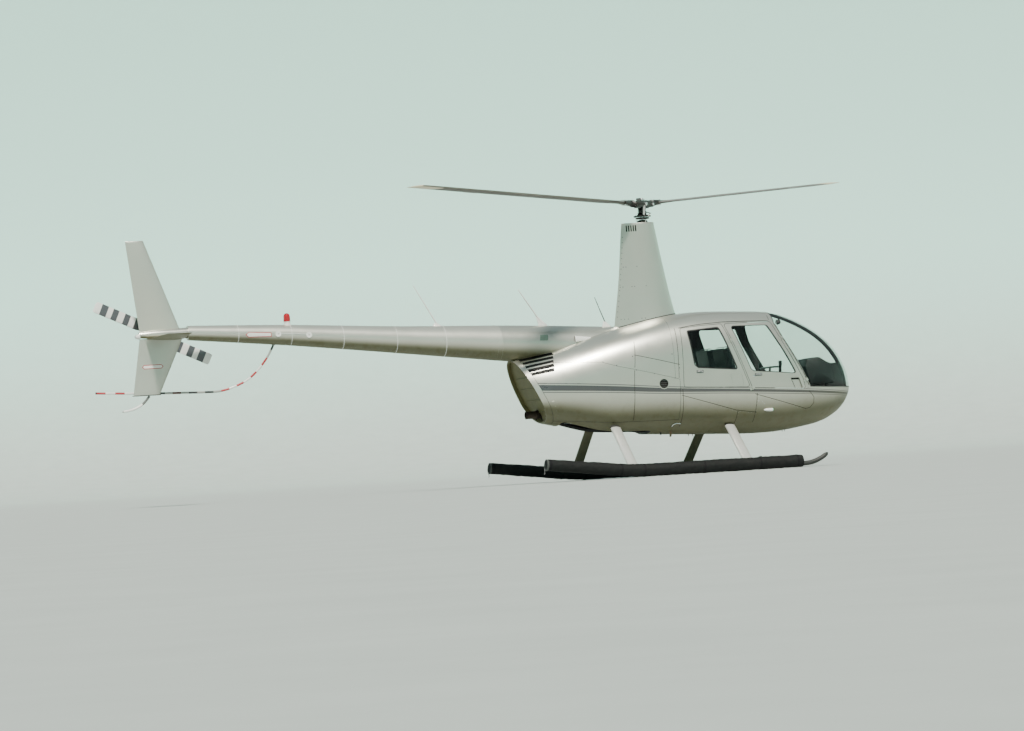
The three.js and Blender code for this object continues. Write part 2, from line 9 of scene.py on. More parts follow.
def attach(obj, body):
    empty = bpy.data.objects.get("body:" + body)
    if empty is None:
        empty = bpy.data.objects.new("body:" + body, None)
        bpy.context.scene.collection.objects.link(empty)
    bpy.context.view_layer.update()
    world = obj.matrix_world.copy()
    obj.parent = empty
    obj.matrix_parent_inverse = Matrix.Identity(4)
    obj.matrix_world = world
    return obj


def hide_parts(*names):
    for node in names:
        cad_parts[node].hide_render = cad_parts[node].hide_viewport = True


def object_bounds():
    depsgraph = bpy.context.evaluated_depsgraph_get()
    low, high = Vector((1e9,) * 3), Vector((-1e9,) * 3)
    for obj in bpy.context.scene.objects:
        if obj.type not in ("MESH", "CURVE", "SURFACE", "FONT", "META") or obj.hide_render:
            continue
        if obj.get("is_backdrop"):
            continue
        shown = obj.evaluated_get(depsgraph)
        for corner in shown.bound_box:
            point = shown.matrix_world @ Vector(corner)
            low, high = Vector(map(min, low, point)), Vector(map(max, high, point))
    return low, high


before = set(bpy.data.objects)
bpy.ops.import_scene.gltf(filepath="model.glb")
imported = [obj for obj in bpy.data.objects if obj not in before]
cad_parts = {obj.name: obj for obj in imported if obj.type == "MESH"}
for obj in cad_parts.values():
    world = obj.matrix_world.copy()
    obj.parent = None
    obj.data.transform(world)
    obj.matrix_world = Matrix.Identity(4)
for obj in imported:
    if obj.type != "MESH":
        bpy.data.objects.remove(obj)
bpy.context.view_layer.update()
SHIFT = 1.4054  # metres from the rotor mast to the middle of the whole outline

# ------------------------------------------------------------------ materials


class Graph:
    """A procedural material with one Principled shader, and short calls for its nodes."""

    def __init__(self, name, **sockets):
        self.m = bpy.data.materials.new(name)
        self.m.use_nodes = True
        self.t = self.m.node_tree
        self.t.nodes.clear()
        self.out = self.t.nodes.new("ShaderNodeOutputMaterial")
        self.b = self.t.nodes.new("ShaderNodeBsdfPrincipled")
        self.t.links.new(self.b.outputs[0], self.out.inputs[0])
        self._place = None
        self.set(**sockets)

    def node(self, kind, **props):
        n = self.t.nodes.new(kind)
        for k, v in props.items():
            setattr(n, k, v)
        return n

    def feed(self, socket, v):
        if isinstance(v, bpy.types.NodeSocket):
            self.t.links.new(v, socket)
        elif hasattr(v, "__len__") and len(v) == 3 and len(getattr(socket, "default_value", v)) == 4:
            socket.default_value = (*v, 1)
        else:
            socket.default_value = v

    def set(self, **sockets):
        for k, v in sockets.items():
            self.feed(self.b.inputs[k.replace("_", " ").title().replace("Ior", "IOR").replace("Specular IOR Level", "Specular IOR Level")], v)
        return self

    def place(self):
        if self._place is None:
            self._place = self.node("ShaderNodeTexCoord").outputs["Object"]
        return self._place

    def xyz(self):
        return self.split(self.place())

    def split(self, v):
        s = self.node("ShaderNodeSeparateXYZ")
        self.feed(s.inputs[0], v)
        return s.outputs[0], s.outputs[1], s.outputs[2]

    def join(self, x, y, z):
        c = self.node("ShaderNodeCombineXYZ")
        for i, v in enumerate((x, y, z)):
            self.feed(c.inputs[i], v)
        return c.outputs[0]

    def math(self, op, a, b=0.0, c=0.0, clamp=False):
        n = self.node("ShaderNodeMath", operation=op, use_clamp=clamp)
        for i, v in enumerate((a, b, c)):
            self.feed(n.inputs[i], v)
        return n.outputs[0]

    def scale(self, x, y, z, v=None):
        n = self.node("ShaderNodeVectorMath", operation="MULTIPLY")
        self.feed(n.inputs[0], v or self.place())
        n.inputs[1].default_value = (x, y, z)
        return n.outputs[0]

    def noise(self, scale, detail=2.0, rough=0.5, v=None, bend=0.0):
        n = self.node("ShaderNodeTexNoise")
        self.feed(n.inputs["Vector"], v or self.place())
        n.inputs["Scale"].default_value, n.inputs["Detail"].default_value = scale, detail
        n.inputs["Roughness"].default_value, n.inputs["Distortion"].default_value = rough, bend
        return n.outputs["Fac"]

    def cells(self, scale, v=None, feature="F1"):
        n = self.node("ShaderNodeTexVoronoi", feature=feature)
        self.feed(n.inputs["Vector"], v or self.place())
        n.inputs["Scale"].default_value = scale
        return n.outputs["Distance"]

    def map(self, v, a0, a1, b0=0.0, b1=1.0, kind="LINEAR"):
        n = self.node("ShaderNodeMapRange", interpolation_type=kind, clamp=True)
        self.feed(n.inputs[0], v)
        for i, k in enumerate((a0, a1, b0, b1)):
            self.feed(n.inputs[i + 1], k)
        return n.outputs[0]

    def mix(self, fac, a, b, blend="MIX"):
        n = self.node("ShaderNodeMix", data_type="RGBA", blend_type=blend)
        self.feed(n.inputs[0], fac)
        self.feed(n.inputs[6], a)
        self.feed(n.inputs[7], b)
        return n.outputs[2]

    def curve(self, v, x0, x1, y0, y1, points):
        """A smooth curve through (x, y) points, both in the same units as v and the result."""
        n = self.node("ShaderNodeFloatCurve")
        c = n.mapping.curves[0]
        pts = [((x - x0) / (x1 - x0), (y - y0) / (y1 - y0)) for x, y in points]
        while len(c.points) < len(pts):
            c.points.new(0.5, 0.5)
        for p, q in zip(c.points, pts):
            p.location = q
        n.mapping.update()
        self.feed(n.inputs["Value"], self.map(v, x0, x1))
        return self.map(n.outputs[0], 0.0, 1.0, y0, y1)

    def bump(self, height, strength=0.3, distance=0.001, under=None):
        n = self.node("ShaderNodeBump")
        n.inputs["Strength"].default_value, n.inputs["Distance"].default_value = strength, distance
        self.feed(n.inputs["Height"], height)
        if under is not None:
            self.feed(n.inputs["Normal"], under)
        return n.outputs[0]

    def band(self, v, half, soft=0.0006):
        """1 where |v| < half, with a soft edge."""
        return self.map(self.math("ABSOLUTE", v), self.math("SUBTRACT", half, soft), self.math("ADD", half, soft), 1.0, 0.0)


SILVER = (0.60, 0.603, 0.535)


def painted(name, stripes=False, grime_and_shade=0.3, base=SILVER, shine=0.30, metal=0.82):
    """Silver metallic paint with fine flake, faint waviness of the skin, dirt low down, and painted shade with a
    painted ground reflection in dark olive on the faces that look down.
    """
    g = Graph(name, coat_weight=0.35, coat_roughness=0.09)
    x, y, z = g.xyz()
    cloud = g.noise(1.7, 3, 0.55)
    flake = g.noise(1400.0, 1, 0.5)
    tone = g.math("MULTIPLY_ADD", cloud, 0.10, 0.95)
    tone = g.math("MULTIPLY", tone, g.map(flake, 0.3, 0.7, 0.93, 1.07))
    col = g.mix(1.0, base, g.join(tone, tone, tone), "MULTIPLY")
    rough = g.math("MULTIPLY_ADD", g.noise(9.0, 4, 0.6), 0.12, shine - 0.05)
    met = metal
    if stripes:
        xm = g.math("SUBTRACT", x, SHIFT)
        lo, hi = -1.80, 2.45
        mid = g.curve(xm, lo, hi, 0.80, 1.15, [(-1.80, 1.118), (-1.583, 1.103), (-0.618, 1.035), (-0.14, 0.995), (0.958, 0.931), (1.693, 0.884), (2.256, 0.842), (2.45, 0.826)])
        half = g.curve(xm, lo, hi, 0.0, 0.06, [(-1.80, 0.034), (-1.3, 0.033), (-0.4, 0.027), (0.3, 0.020), (1.0, 0.0165), (1.7, 0.0155), (2.45, 0.0115)])
        gap = g.curve(xm, lo, hi, 0.0, 0.03, [(-1.80, 0.0125), (0.0, 0.0105), (1.7, 0.009), (2.45, 0.007)])
        d = g.math("SUBTRACT", z, mid)
        bold = g.band(d, half)
        outer = g.band(d, g.math("ADD", half, g.math("MULTIPLY", gap, 2.0)))
        inner = g.band(d, g.math("ADD", half, gap))
        fine = g.math("SUBTRACT", outer, inner, clamp=True)
        worn = g.map(g.noise(60.0, 4, 0.7), 0.24, 0.34, 0.75, 1.0)
        col = g.mix(g.math("MULTIPLY", fine, 0.9), col, (0.135, 0.135, 0.14))
        col = g.mix(g.math("MULTIPLY", bold, worn), col, (0.085, 0.087, 0.095))
        both = g.math("ADD", bold, fine, clamp=True)
        met = g.map(both, 0.0, 1.0, metal, 0.45)
        rough = g.math("MULTIPLY_ADD", both, -0.03, rough)
    if grime_and_shade:
        low = g.map(z, 1.0, 0.45, 0.0, 1.0, "SMOOTHSTEP")
        spots = g.map(g.noise(14.0, 6, 0.65), 0.50, 0.66, 0.0, 1.0)
        streak = g.map(g.noise(5.0, 5, 0.6, g.scale(1.0, 1.0, 0.25)), 0.45, 0.75, 0.0, 1.0)
        # painted shade and painted ground reflection: the more a face looks down, the more it turns dark olive,
        # rougher, less metallic and with less coat
        facing = g.split(g.node("ShaderNodeNewGeometry").outputs["Normal"])[2]
        underside_shade = g.math("MULTIPLY", g.map(facing, 0.12, -0.62, 0.0, 1.0, "SMOOTHSTEP"), g.math("MULTIPLY_ADD", spots, 0.04, 0.92))
        col = g.mix(underside_shade, col, (0.080, 0.072, 0.021))
        rough = g.math("MULTIPLY_ADD", underside_shade, 0.22, rough)
        dirt = g.math("MULTIPLY", g.math("MULTIPLY_ADD", spots, 0.5, streak, clamp=True), g.math("MULTIPLY_ADD", low, 0.9, 0.10))
        dirt = g.math("MULTIPLY", dirt, grime_and_shade)
        col = g.mix(dirt, col, (0.20, 0.165, 0.11))
        rough = g.math("MULTIPLY_ADD", dirt, 0.35, rough)
        met = g.math("SUBTRACT", met, g.math("MULTIPLY_ADD", underside_shade, 0.85, g.math("MULTIPLY", dirt, 0.5)), clamp=True)
        g.set(coat_weight=g.math("MULTIPLY_ADD", underside_shade, -0.36, 0.35, clamp=True))
    wave = g.bump(g.noise(2.6, 2, 0.5), 0.10, 0.004)
    peel = g.bump(g.noise(260.0, 2, 0.5), 0.05, 0.0004, wave)
    g.set(base_color=col, roughness=rough, metallic=met, normal=peel)
    return g.m


def plastic(name, color, rough=0.5, grain=500.0, depth=0.15, vary=0.12, metal=0.0, coat=0.0, specks=None):
    """Moulded plastic, rubber or plain paint: fine grain, and colour that varies a little."""
    g = Graph(name, metallic=metal, coat_weight=coat, coat_roughness=0.12)
    soft = g.noise(7.0, 4, 0.6)
    k = g.math("MULTIPLY_ADD", soft, 2 * vary, 1 - vary)
    col = g.mix(1.0, color, g.join(k, k, k), "MULTIPLY")
    if specks:
        col = g.mix(g.map(g.noise(90.0, 5, 0.7), 0.62, 0.70, 0.0, 0.5), col, specks)
    r = g.math("MULTIPLY_ADD", g.noise(22.0, 3, 0.6), 0.16, rough - 0.08)
    g.set(base_color=col, roughness=r, normal=g.bump(g.noise(grain, 2, 0.6), depth, 0.0006))
    return g.m


def metal(name, color, rough=0.32, brush=(1, 1, 1), stain=0.2, stain_color=(0.10, 0.08, 0.06)):
    """Bare or lightly stained metal with fine machining marks."""
    g = Graph(name)
    n = g.noise(180.0, 3, 0.6, g.scale(*brush))
    blot = g.map(g.noise(11.0, 5, 0.65), 0.48, 0.72, 0.0, stain)
    k = g.math("MULTIPLY_ADD", n, 0.24, 0.88)
    col = g.mix(blot, g.mix(1.0, color, g.join(k, k, k), "MULTIPLY"), stain_color)
    r = g.math("MULTIPLY_ADD", n, 0.16, g.math("MULTIPLY_ADD", blot, 0.8, rough - 0.08))
    g.set(base_color=col, roughness=r, metallic=g.map(blot, 0.0, 1.0, 1.0, 0.35), normal=g.bump(n, 0.12, 0.0004))
    return g.m


def cloth(name, color, weave=900.0, sheen=0.35, rough=0.85, folds=0.0, tint=None, dust=0.0, shine=0.5):
    """Woven fabric: two crossed thread waves, fuzz, and broad fading."""
    g = Graph(name, sheen_weight=sheen, sheen_roughness=0.5, specular_ior_level=shine)
    x, y, z = g.xyz()
    a = g.math("SINE", g.math("MULTIPLY", g.math("ADD", x, z), weave))
    b = g.math("SINE", g.math("MULTIPLY", g.math("ADD", y, g.math("MULTIPLY", z, 0.4)), weave))
    w = g.math("MULTIPLY", a, b)
    fade = g.noise(5.0, 4, 0.6)
    k = g.math("MULTIPLY_ADD", fade, 0.5, 0.72)
    k = g.math("MULTIPLY", k, g.math("MULTIPLY_ADD", w, 0.10, 1.0))
    col = g.mix(1.0, color, g.join(k, k, k), "MULTIPLY")
    if tint:
        col = g.mix(g.map(g.noise(9.0, 5, 0.7), 0.5, 0.75, 0.0, 0.6), col, tint)
    if dust:
        col = g.mix(g.math("MULTIPLY", g.map(g.noise(16.0, 6, 0.7), 0.45, 0.8), dust), col, (0.22, 0.20, 0.16))
    n = g.bump(w, 0.25, 0.0007)
    if folds:
        n = g.bump(g.noise(16.0, 4, 0.6, g.scale(0.25, 1.0, 1.0)), folds, 0.006, n)
    g.set(base_color=col, roughness=g.math("MULTIPLY_ADD", fade, 0.14, rough - 0.07), normal=n)
    return g.m


def glazing(name, tint, gloss=1.0):
    """Clear acrylic: see-through with a faint tint, mirror-like at grazing angles, hairline polishing marks."""
    g = Graph(name)
    g.t.nodes.remove(g.b)
    clear = g.node("ShaderNodeBsdfTransparent")
    k = g.map(g.noise(1.3, 2, 0.5), 0.3, 0.7, 0.97, 1.0)
    g.feed(clear.inputs[0], g.mix(1.0, tint, g.join(k, k, k), "MULTIPLY"))
    shine = g.node("ShaderNodeBsdfGlossy")
    shine.inputs["Color"].default_value = (0.93, 0.96, 0.95, 1)
    g.feed(shine.inputs["Roughness"], g.map(g.noise(40.0, 4, 0.6), 0.35, 0.75, 0.012, 0.035))
    f = g.node("ShaderNodeFresnel")
    f.inputs["IOR"].default_value = 1.47
    g.feed(f.inputs["Normal"], g.bump(g.noise(3.2, 2, 0.5), 0.04, 0.003))
    mixer = g.node("ShaderNodeMixShader")
    entering = g.math("SUBTRACT", 1.0, g.node("ShaderNodeNewGeometry").outputs["Backfacing"])
    g.feed(mixer.inputs[0], g.math("MULTIPLY", g.math("MULTIPLY", f.outputs[0], entering), gloss, clamp=True))
    g.t.links.new(clear.outputs[0], mixer.inputs[1])
    g.t.links.new(shine.outputs[0], mixer.inputs[2])
    g.t.links.new(mixer.outputs[0], g.out.inputs[0])
    return g.m


M = {
    "skin": painted("silver_striped", stripes=True, grime_and_shade=0.26),
    "silver": painted("silver_plain", grime_and_shade=0.22),
    "tail": painted("silver_tail", grime_and_shade=0.15, base=(0.62, 0.622, 0.555), shine=0.33, metal=0.72),
    "gear": painted("silver_gear", grime_and_shade=0.25, base=(0.70, 0.70, 0.67), shine=0.30, metal=0.45),
    # soot, and painted shade of the rear end: a darker silver with heavy grime on the inner faces of the rear skin
    "soot_and_shade": painted("silver_soot_and_shade", grime_and_shade=0.9, base=(0.50, 0.48, 0.42), shine=0.36),
    # painted shade: the recessed rear face and its rim are coloured a dark olive that stands in for their shade and the
    # ground's reflection in it
    "recess": plastic("rear_shade_olive", (0.098, 0.085, 0.028), 0.62, 260, 0.12, 0.28, specks=(0.06, 0.05, 0.03)),
    "white": plastic("white_gloss", (0.78, 0.78, 0.75), 0.28, 700, 0.05, 0.04, coat=0.4, specks=(0.5, 0.46, 0.4)),
    "glass": glazing("cabin_acrylic", (0.93, 0.965, 0.95), 0.5),
    "seal": plastic("black_seal", (0.018, 0.018, 0.019), 0.62, 800, 0.2, 0.2),
    # dark dirt in the seams; in the door vent's groove it is painted shade
    "seam": plastic("seam_dirt_and_shade", (0.030, 0.026, 0.020), 0.8, 600, 0.3, 0.3),
    "lining": plastic("cabin_lining", (0.030, 0.031, 0.032), 0.75, 320, 0.5, 0.15),
    "ceiling": cloth("headliner", (0.032, 0.032, 0.034), 1600, 0.3, 0.9),
    "carpet": cloth("carpet", (0.045, 0.045, 0.050), 700, 0.5, 0.95, 0.3, dust=0.25),
    "seat": cloth("seat_cloth", (0.050, 0.051, 0.056), 1500, 0.4, 0.8, 0.15),
    "piping": cloth("seat_piping", (0.12, 0.12, 0.13), 2400, 0.3, 0.7),
    "webbing": cloth("belt_webbing", (0.035, 0.035, 0.037), 2600, 0.5, 0.7),
    "console": plastic("console_plastic", (0.011, 0.011, 0.012), 0.56, 420, 0.4, 0.2),
    "knob": plastic("knob_rubber", (0.012, 0.012, 0.012), 0.4, 900, 0.2, 0.2),
    "alu": metal("bare_aluminium", (0.62, 0.62, 0.61), 0.34, (1, 1, 6)),
    "steel": metal("dark_steel", (0.22, 0.22, 0.22), 0.36, (5, 1, 1), 0.45, (0.06, 0.045, 0.03)),
    "bright": metal("bright_steel", (0.75, 0.75, 0.74), 0.22, (1, 1, 5), 0.12),
    "cast": metal("cast_alloy", (0.34, 0.34, 0.32), 0.5, (1, 1, 1), 0.5, (0.07, 0.06, 0.045)),
    "exhaust": metal("exhaust_pipe", (0.070, 0.055, 0.045), 0.60, (1, 1, 1), 0.9, (0.016, 0.014, 0.012)),
    # black of the engine bay; in the vent, slots, inlet, scoop mouth and under the lower fin it is painted shade
    "bay": plastic("engine_bay_black_and_painted_shade", (0.020, 0.019, 0.017), 0.8, 300, 0.3, 0.35),
    "grille": metal("dark_louvre", (0.10, 0.10, 0.10), 0.5, (1, 1, 1), 0.5, (0.02, 0.018, 0.015)),
    "pack": cloth("float_cover", (0.011, 0.012, 0.012), 1300, 0.0, 0.66, 0.55, tint=(0.014, 0.014, 0.014), dust=0.03, shine=0.14),
    "pack_trim": cloth("float_binding", (0.010, 0.010, 0.011), 2200, 0.0, 0.7, 0.1, shine=0.12),
    "toe": plastic("toe_paint", (0.016, 0.018, 0.016), 0.52, 300, 0.12, 0.25, 0.0, 0.0, specks=(0.12, 0.12, 0.11)),
    "red": plastic("red_paint", (0.42, 0.028, 0.032), 0.34, 500, 0.06, 0.08, coat=0.3),
    "black": plastic("black_paint", (0.020, 0.020, 0.021), 0.45, 500, 0.08, 0.15, coat=0.1),
    "head": plastic("rotor_head_black", (0.024, 0.023, 0.020), 0.40, 420, 0.15, 0.3, 0.35, specks=(0.16, 0.14, 0.11)),
    "grey_ring": plastic("cap_ring_grey", (0.050, 0.054, 0.050), 0.6, 400, 0.1, 0.2),
    "olive": plastic("plate_olive", (0.20, 0.27, 0.22), 0.5, 400, 0.05, 0.08),
    "antenna": plastic("antenna_brown", (0.16, 0.10, 0.05), 0.42, 400, 0.08, 0.12),
}


def rotor_paint():
    """Blade paint by place: matt dark below, grey above, a bare leading edge and a pale tip."""
    g = Graph("blade_paint", coat_weight=0.1, coat_roughness=0.3)
    geo = g.node("ShaderNodeNewGeometry")
    _, _, up = g.split(geo.outputs["Normal"])
    r = g.node("ShaderNodeAttribute", attribute_name="span").outputs["Fac"]
    c = g.node("ShaderNodeAttribute", attribute_name="chord").outputs["Fac"]
    scuff = g.noise(30.0, 5, 0.65)
    top = g.mix(g.map(scuff, 0.5, 0.75, 0.0, 0.35), (0.17, 0.168, 0.155), (0.10, 0.10, 0.092))
    low = g.mix(g.map(scuff, 0.45, 0.75, 0.0, 0.5), (0.036, 0.032, 0.018), (0.022, 0.020, 0.012))
    col = g.mix(g.map(up, -0.15, 0.15), low, top)
    col = g.mix(g.map(r, 4.60, 4.604), col, (0.66, 0.60, 0.44))
    col = g.mix(g.math("MULTIPLY", g.map(c, 0.055, 0.05), g.map(r, 0.9, 0.91)), col, (0.15, 0.14, 0.11))
    met = g.math("MULTIPLY", g.map(c, 0.055, 0.05), 0.4)
    rough = g.math("MULTIPLY_ADD", scuff, 0.2, g.map(c, 0.055, 0.05, 0.46, 0.30))
    g.set(base_color=col, roughness=rough, metallic=met, normal=g.bump(g.noise(120.0, 3, 0.6), 0.08, 0.0005))
    return g.m


def banded(name, attribute, bands, others=()):
    """Glossy bands along a piece, by an attribute that runs along it: (from, to, colour) rows over a first colour."""
    g = Graph(name, coat_weight=0.3, coat_roughness=0.12)
    r = g.node("ShaderNodeAttribute", attribute_name=attribute).outputs["Fac"]
    first, rows = bands
    col = first
    for a, b, c in rows:
        inside = g.math("MULTIPLY", g.map(r, a - 0.0006, a + 0.0006), g.map(r, b - 0.0006, b + 0.0006, 1.0, 0.0))
        col = g.mix(inside, col, c)
    k = g.math("MULTIPLY_ADD", g.noise(9.0, 4, 0.6), 0.16, 0.92)
    col = g.mix(1.0, col, g.join(k, k, k), "MULTIPLY")
    col = g.mix(g.map(g.noise(70.0, 5, 0.7), 0.60, 0.72, 0.0, 0.35), col, (0.25, 0.22, 0.17))
    g.set(base_color=col, roughness=g.math("MULTIPLY_ADD", g.noise(30.0, 3, 0.6), 0.18, 0.28), normal=g.bump(g.noise(300.0, 2, 0.5), 0.06, 0.0005))
    return g.m


WHITE, DARK, RED = (0.80, 0.80, 0.77), (0.07, 0.075, 0.085), (0.42, 0.028, 0.035)
M["blade"] = rotor_paint()
M["tail_blade"] = banded("tail_blade_paint", "span", (WHITE, [(0.0, 0.24, (0.06, 0.06, 0.065)), (0.307, 0.375, DARK), (0.45, 0.52, DARK), (0.58, 0.66, DARK)]))


def beacon_glass():
    g = Graph("beacon_lens", roughness=0.12, coat_weight=0.5, coat_roughness=0.05, transmission_weight=0.25)
    rib = g.math("SINE", g.math("MULTIPLY", g.xyz()[2], 1400.0))
    col = g.mix(g.map(g.noise(30.0, 3), 0.3, 0.7, 0.0, 0.5), (0.55, 0.012, 0.022), (0.36, 0.008, 0.016))
    g.set(base_color=col, normal=g.bump(rib, 0.35, 0.0008))
    return g.m


def lens(name, color):
    g = Graph(name, roughness=0.08, coat_weight=0.6, coat_roughness=0.04)
    k = g.cells(140.0)
    g.set(base_color=g.mix(g.map(k, 0.0, 0.5), color, tuple(c * 0.7 for c in color)), normal=g.bump(k, 0.35, 0.001))
    return g.m


M["beacon"] = beacon_glass()
M["lens"] = lens("lamp_lens", (0.72, 0.74, 0.74))
M["green"] = lens("green_lens", (0.03, 0.30, 0.10))
M["redlens"] = lens("red_lens", (0.40, 0.02, 0.02))

# ------------------------------------------------------------------ meshes
BLANKS = [bpy.data.materials.new(f"blank_{i}") for i in range(6)]


def raw(verts, faces, k=0):
    """Mesh data from points in millimetres, every face with material index k."""
    me = bpy.data.meshes.new("raw")
    me.from_pydata(np.asarray(verts, float).tolist(), [], faces)
    for b in BLANKS:
        me.materials.append(b)
    me.polygons.foreach_set("material_index", np.full(len(me.polygons), k, np.int32))
    return outward(me)


def outward(me):
    """Turns all faces of a closed mesh outwards."""
    n = len(me.loops)
    me.calc_loop_triangles()
    t = np.zeros(len(me.loop_triangles) * 3, np.int32)
    me.loop_triangles.foreach_get("vertices", t)
    co = np.zeros(len(me.vertices) * 3)
    me.vertices.foreach_get("co", co)
    p = co.reshape(-1, 3)[t.reshape(-1, 3)]
    if np.einsum("ij,ij->i", p[:, 0], np.cross(p[:, 1], p[:, 2])).sum() < 0 and n:
        me.flip_normals()
    return me


def boolean(a, b, op="DIFFERENCE"):
    oa, ob = bpy.data.objects.new("a", a), bpy.data.objects.new("b", b)
    c = bpy.context.scene.collection
    c.objects.link(oa)
    c.objects.link(ob)
    m = oa.modifiers.new("b", "BOOLEAN")
    m.operation, m.solver, m.object, m.material_mode = op, "MANIFOLD", ob, "INDEX"
    made = bpy.data.meshes.new_from_object(oa.evaluated_get(bpy.context.evaluated_depsgraph_get()))
    bpy.data.objects.remove(oa)
    bpy.data.objects.remove(ob)
    return made


def cut(a, *others):
    for b in others:
        a = boolean(a, b)
    return a


def both(a, *others):
    for b in others:
        a = boolean(a, b, "INTERSECT")
    return a


def rings_mesh(rings, k=0, caps=True, closed=False):
    """Rings of equally many points joined in order; flat or fan ends."""
    r = np.asarray(rings, float)
    nu, na = r.shape[:2]
    v = r.reshape(-1, 3).tolist()
    i, j = np.meshgrid(np.arange(nu if closed else nu - 1), np.arange(na), indexing="ij")
    a, b = i * na + j, i * na + (j + 1) % na
    c, d = ((i + 1) % nu) * na + (j + 1) % na, ((i + 1) % nu) * na + j
    f = np.stack([a, b, c, d], -1).reshape(-1, 4).tolist()
    if caps and not closed:
        for e, turn in ((0, -1), (nu - 1, 1)):
            m = len(v)
            v.append(r[e].mean(0).tolist())
            for q in range(na):
                t = (e * na + q, e * na + (q + 1) % na)
                f.append([m, *t[::turn]])
    return raw(v, f, k)


def prism_y(points, y0, y1, k=2):
    n = len(points)
    v = [(x, y0, z) for x, z in points] + [(x, y1, z) for x, z in points]
    f = [list(range(n)), list(range(2 * n - 1, n - 1, -1))] + [[i, i + n, (i + 1) % n + n, (i + 1) % n] for i in range(n)]
    return raw(v, f, k)


def prism_z(points, z0, z1, k=2):
    n = len(points)
    v = [(x, y, z0) for x, y in points] + [(x, y, z1) for x, y in points]
    f = [list(range(n)), list(range(2 * n - 1, n - 1, -1))] + [[i, i + n, (i + 1) % n + n, (i + 1) % n] for i in range(n)]
    return raw(v, f, k)


def slab(x0, x1, y0, y1, z0, z1, k=2):
    return prism_z([(x0, y0), (x1, y0), (x1, y1), (x0, y1)], z0, z1, k)


def rounded(points, radius, steps=5):
    """The outline with its corners turned into arcs; radius is one number or one for each corner."""
    out, n = [], len(points)
    rad = [radius] * n if not hasattr(radius, "__len__") else radius
    for i in range(n):
        p, a, b = (np.array(points[k % n], float) for k in (i, i - 1, i + 1))
        u, v = a - p, b - p
        lu, lv = np.linalg.norm(u), np.linalg.norm(v)
        u, v = u / lu, v / lv
        ang = math.acos(max(-1, min(1, u @ v)))
        t = min(rad[i] / max(math.tan(ang / 2), 1e-6), lu * 0.48, lv * 0.48)
        if t < 0.5 or ang > math.pi - 0.02:
            out.append(tuple(p))
            continue
        for s in np.linspace(0, 1, steps):
            out.append(tuple((1 - s) ** 2 * (p + u * t) + 2 * s * (1 - s) * p + s**2 * (p + v * t)))
    return out


def grow(points, d):
    """The outline with each side moved outwards by d."""
    p = np.array(points, float)
    q, o = np.roll(p, -1, 0), np.roll(p, 1, 0)
    area = (p[:, 0] * q[:, 1] - q[:, 0] * p[:, 1]).sum()
    k = d if area > 0 else -d
    u = (p - o) / np.linalg.norm(p - o, axis=1)[:, None]
    v = (q - p) / np.linalg.norm(q - p, axis=1)[:, None]
    m = np.stack([u[:, 1] + v[:, 1], -u[:, 0] - v[:, 0]], 1)
    c = 1 + (u * v).sum(1)
    return (p + m * (k / np.maximum(c, 0.15))[:, None]).tolist()


def ribbon(path, width):
    """A closed outline that follows an open path of 2-D points at a constant width."""
    p = np.array(path, float)
    t = np.gradient(p, axis=0)
    t /= np.linalg.norm(t, axis=1)[:, None]
    n = np.stack([-t[:, 1], t[:, 0]], 1) * width / 2
    return (p + n).tolist() + (p - n)[::-1].tolist()


def cleaned(me):
    """Merges the points that a cut leaves on top of each other."""
    import bmesh

    bm = bmesh.new()
    bm.from_mesh(me)
    bmesh.ops.remove_doubles(bm, verts=bm.verts, dist=0.02)
    bmesh.ops.dissolve_degenerate(bm, edges=bm.edges, dist=0.01)
    bm.to_mesh(me)
    bm.free()
    return me


def put(name, me, mats, body="airframe", replaces=(), angle=32.0, like=None, attributes=None):
    """Turns mesh data in millimetres into a piece on a body, with its materials and smooth shading; like holds surfaces whose normals it keeps."""
    co = np.zeros(len(me.vertices) * 3)
    me.vertices.foreach_get("co", co)
    co = co.reshape(-1, 3)
    mats = [mats] if isinstance(mats, (str, bpy.types.Material)) else mats
    idx = np.zeros(len(me.polygons), np.int32)
    me.polygons.foreach_get("material_index", idx)
    me.materials.clear()  # this also sets every face's index to 0
    for m in mats:
        me.materials.append(M[m] if isinstance(m, str) else m)
    me.polygons.foreach_set("material_index", np.minimum(idx, len(mats) - 1))
    me.polygons.foreach_set("use_smooth", np.ones(len(me.polygons), bool))
    if like is not None:
        keep_normals(me, co, like)
    co = co * 0.001
    co[:, 0] += SHIFT
    me.vertices.foreach_set("co", co.ravel())
    me.update()
    if like is None:
        me.set_sharp_from_angle(angle=math.radians(angle))
    for key, values in (attributes or {}).items():
        a = me.attributes.new(key, "FLOAT", "POINT")
        a.data.foreach_set("value", np.asarray(values, np.float32))
    me.name = name
    o = bpy.data.objects.new(name, me)
    bpy.context.scene.collection.objects.link(o)
    if replaces:
        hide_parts(*replaces)
    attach(o, body)
    return o


def keep_normals(me, co, surface):
    """Gives each face corner that lies along the smooth surface that surface's own normal, and the others their face's."""
    nl, nf = len(me.loops), len(me.polygons)
    lv = np.zeros(nl, np.int32)
    me.loops.foreach_get("vertex_index", lv)
    fn, total = np.zeros(nf * 3), np.zeros(nf, np.int32)
    me.polygons.foreach_get("normal", fn)
    me.polygons.foreach_get("loop_total", total)
    fn = fn.reshape(-1, 3)
    corner = np.repeat(fn, total, 0)
    near, vn = surface.normals_at(co, 34.0)
    dot = np.einsum("ij,ij->i", corner, vn[lv])
    good = near[lv] & (np.abs(dot) > 0.92)
    corner[good] = (vn[lv] * np.sign(dot)[:, None])[good]
    me.normals_split_custom_set(corner.tolist())


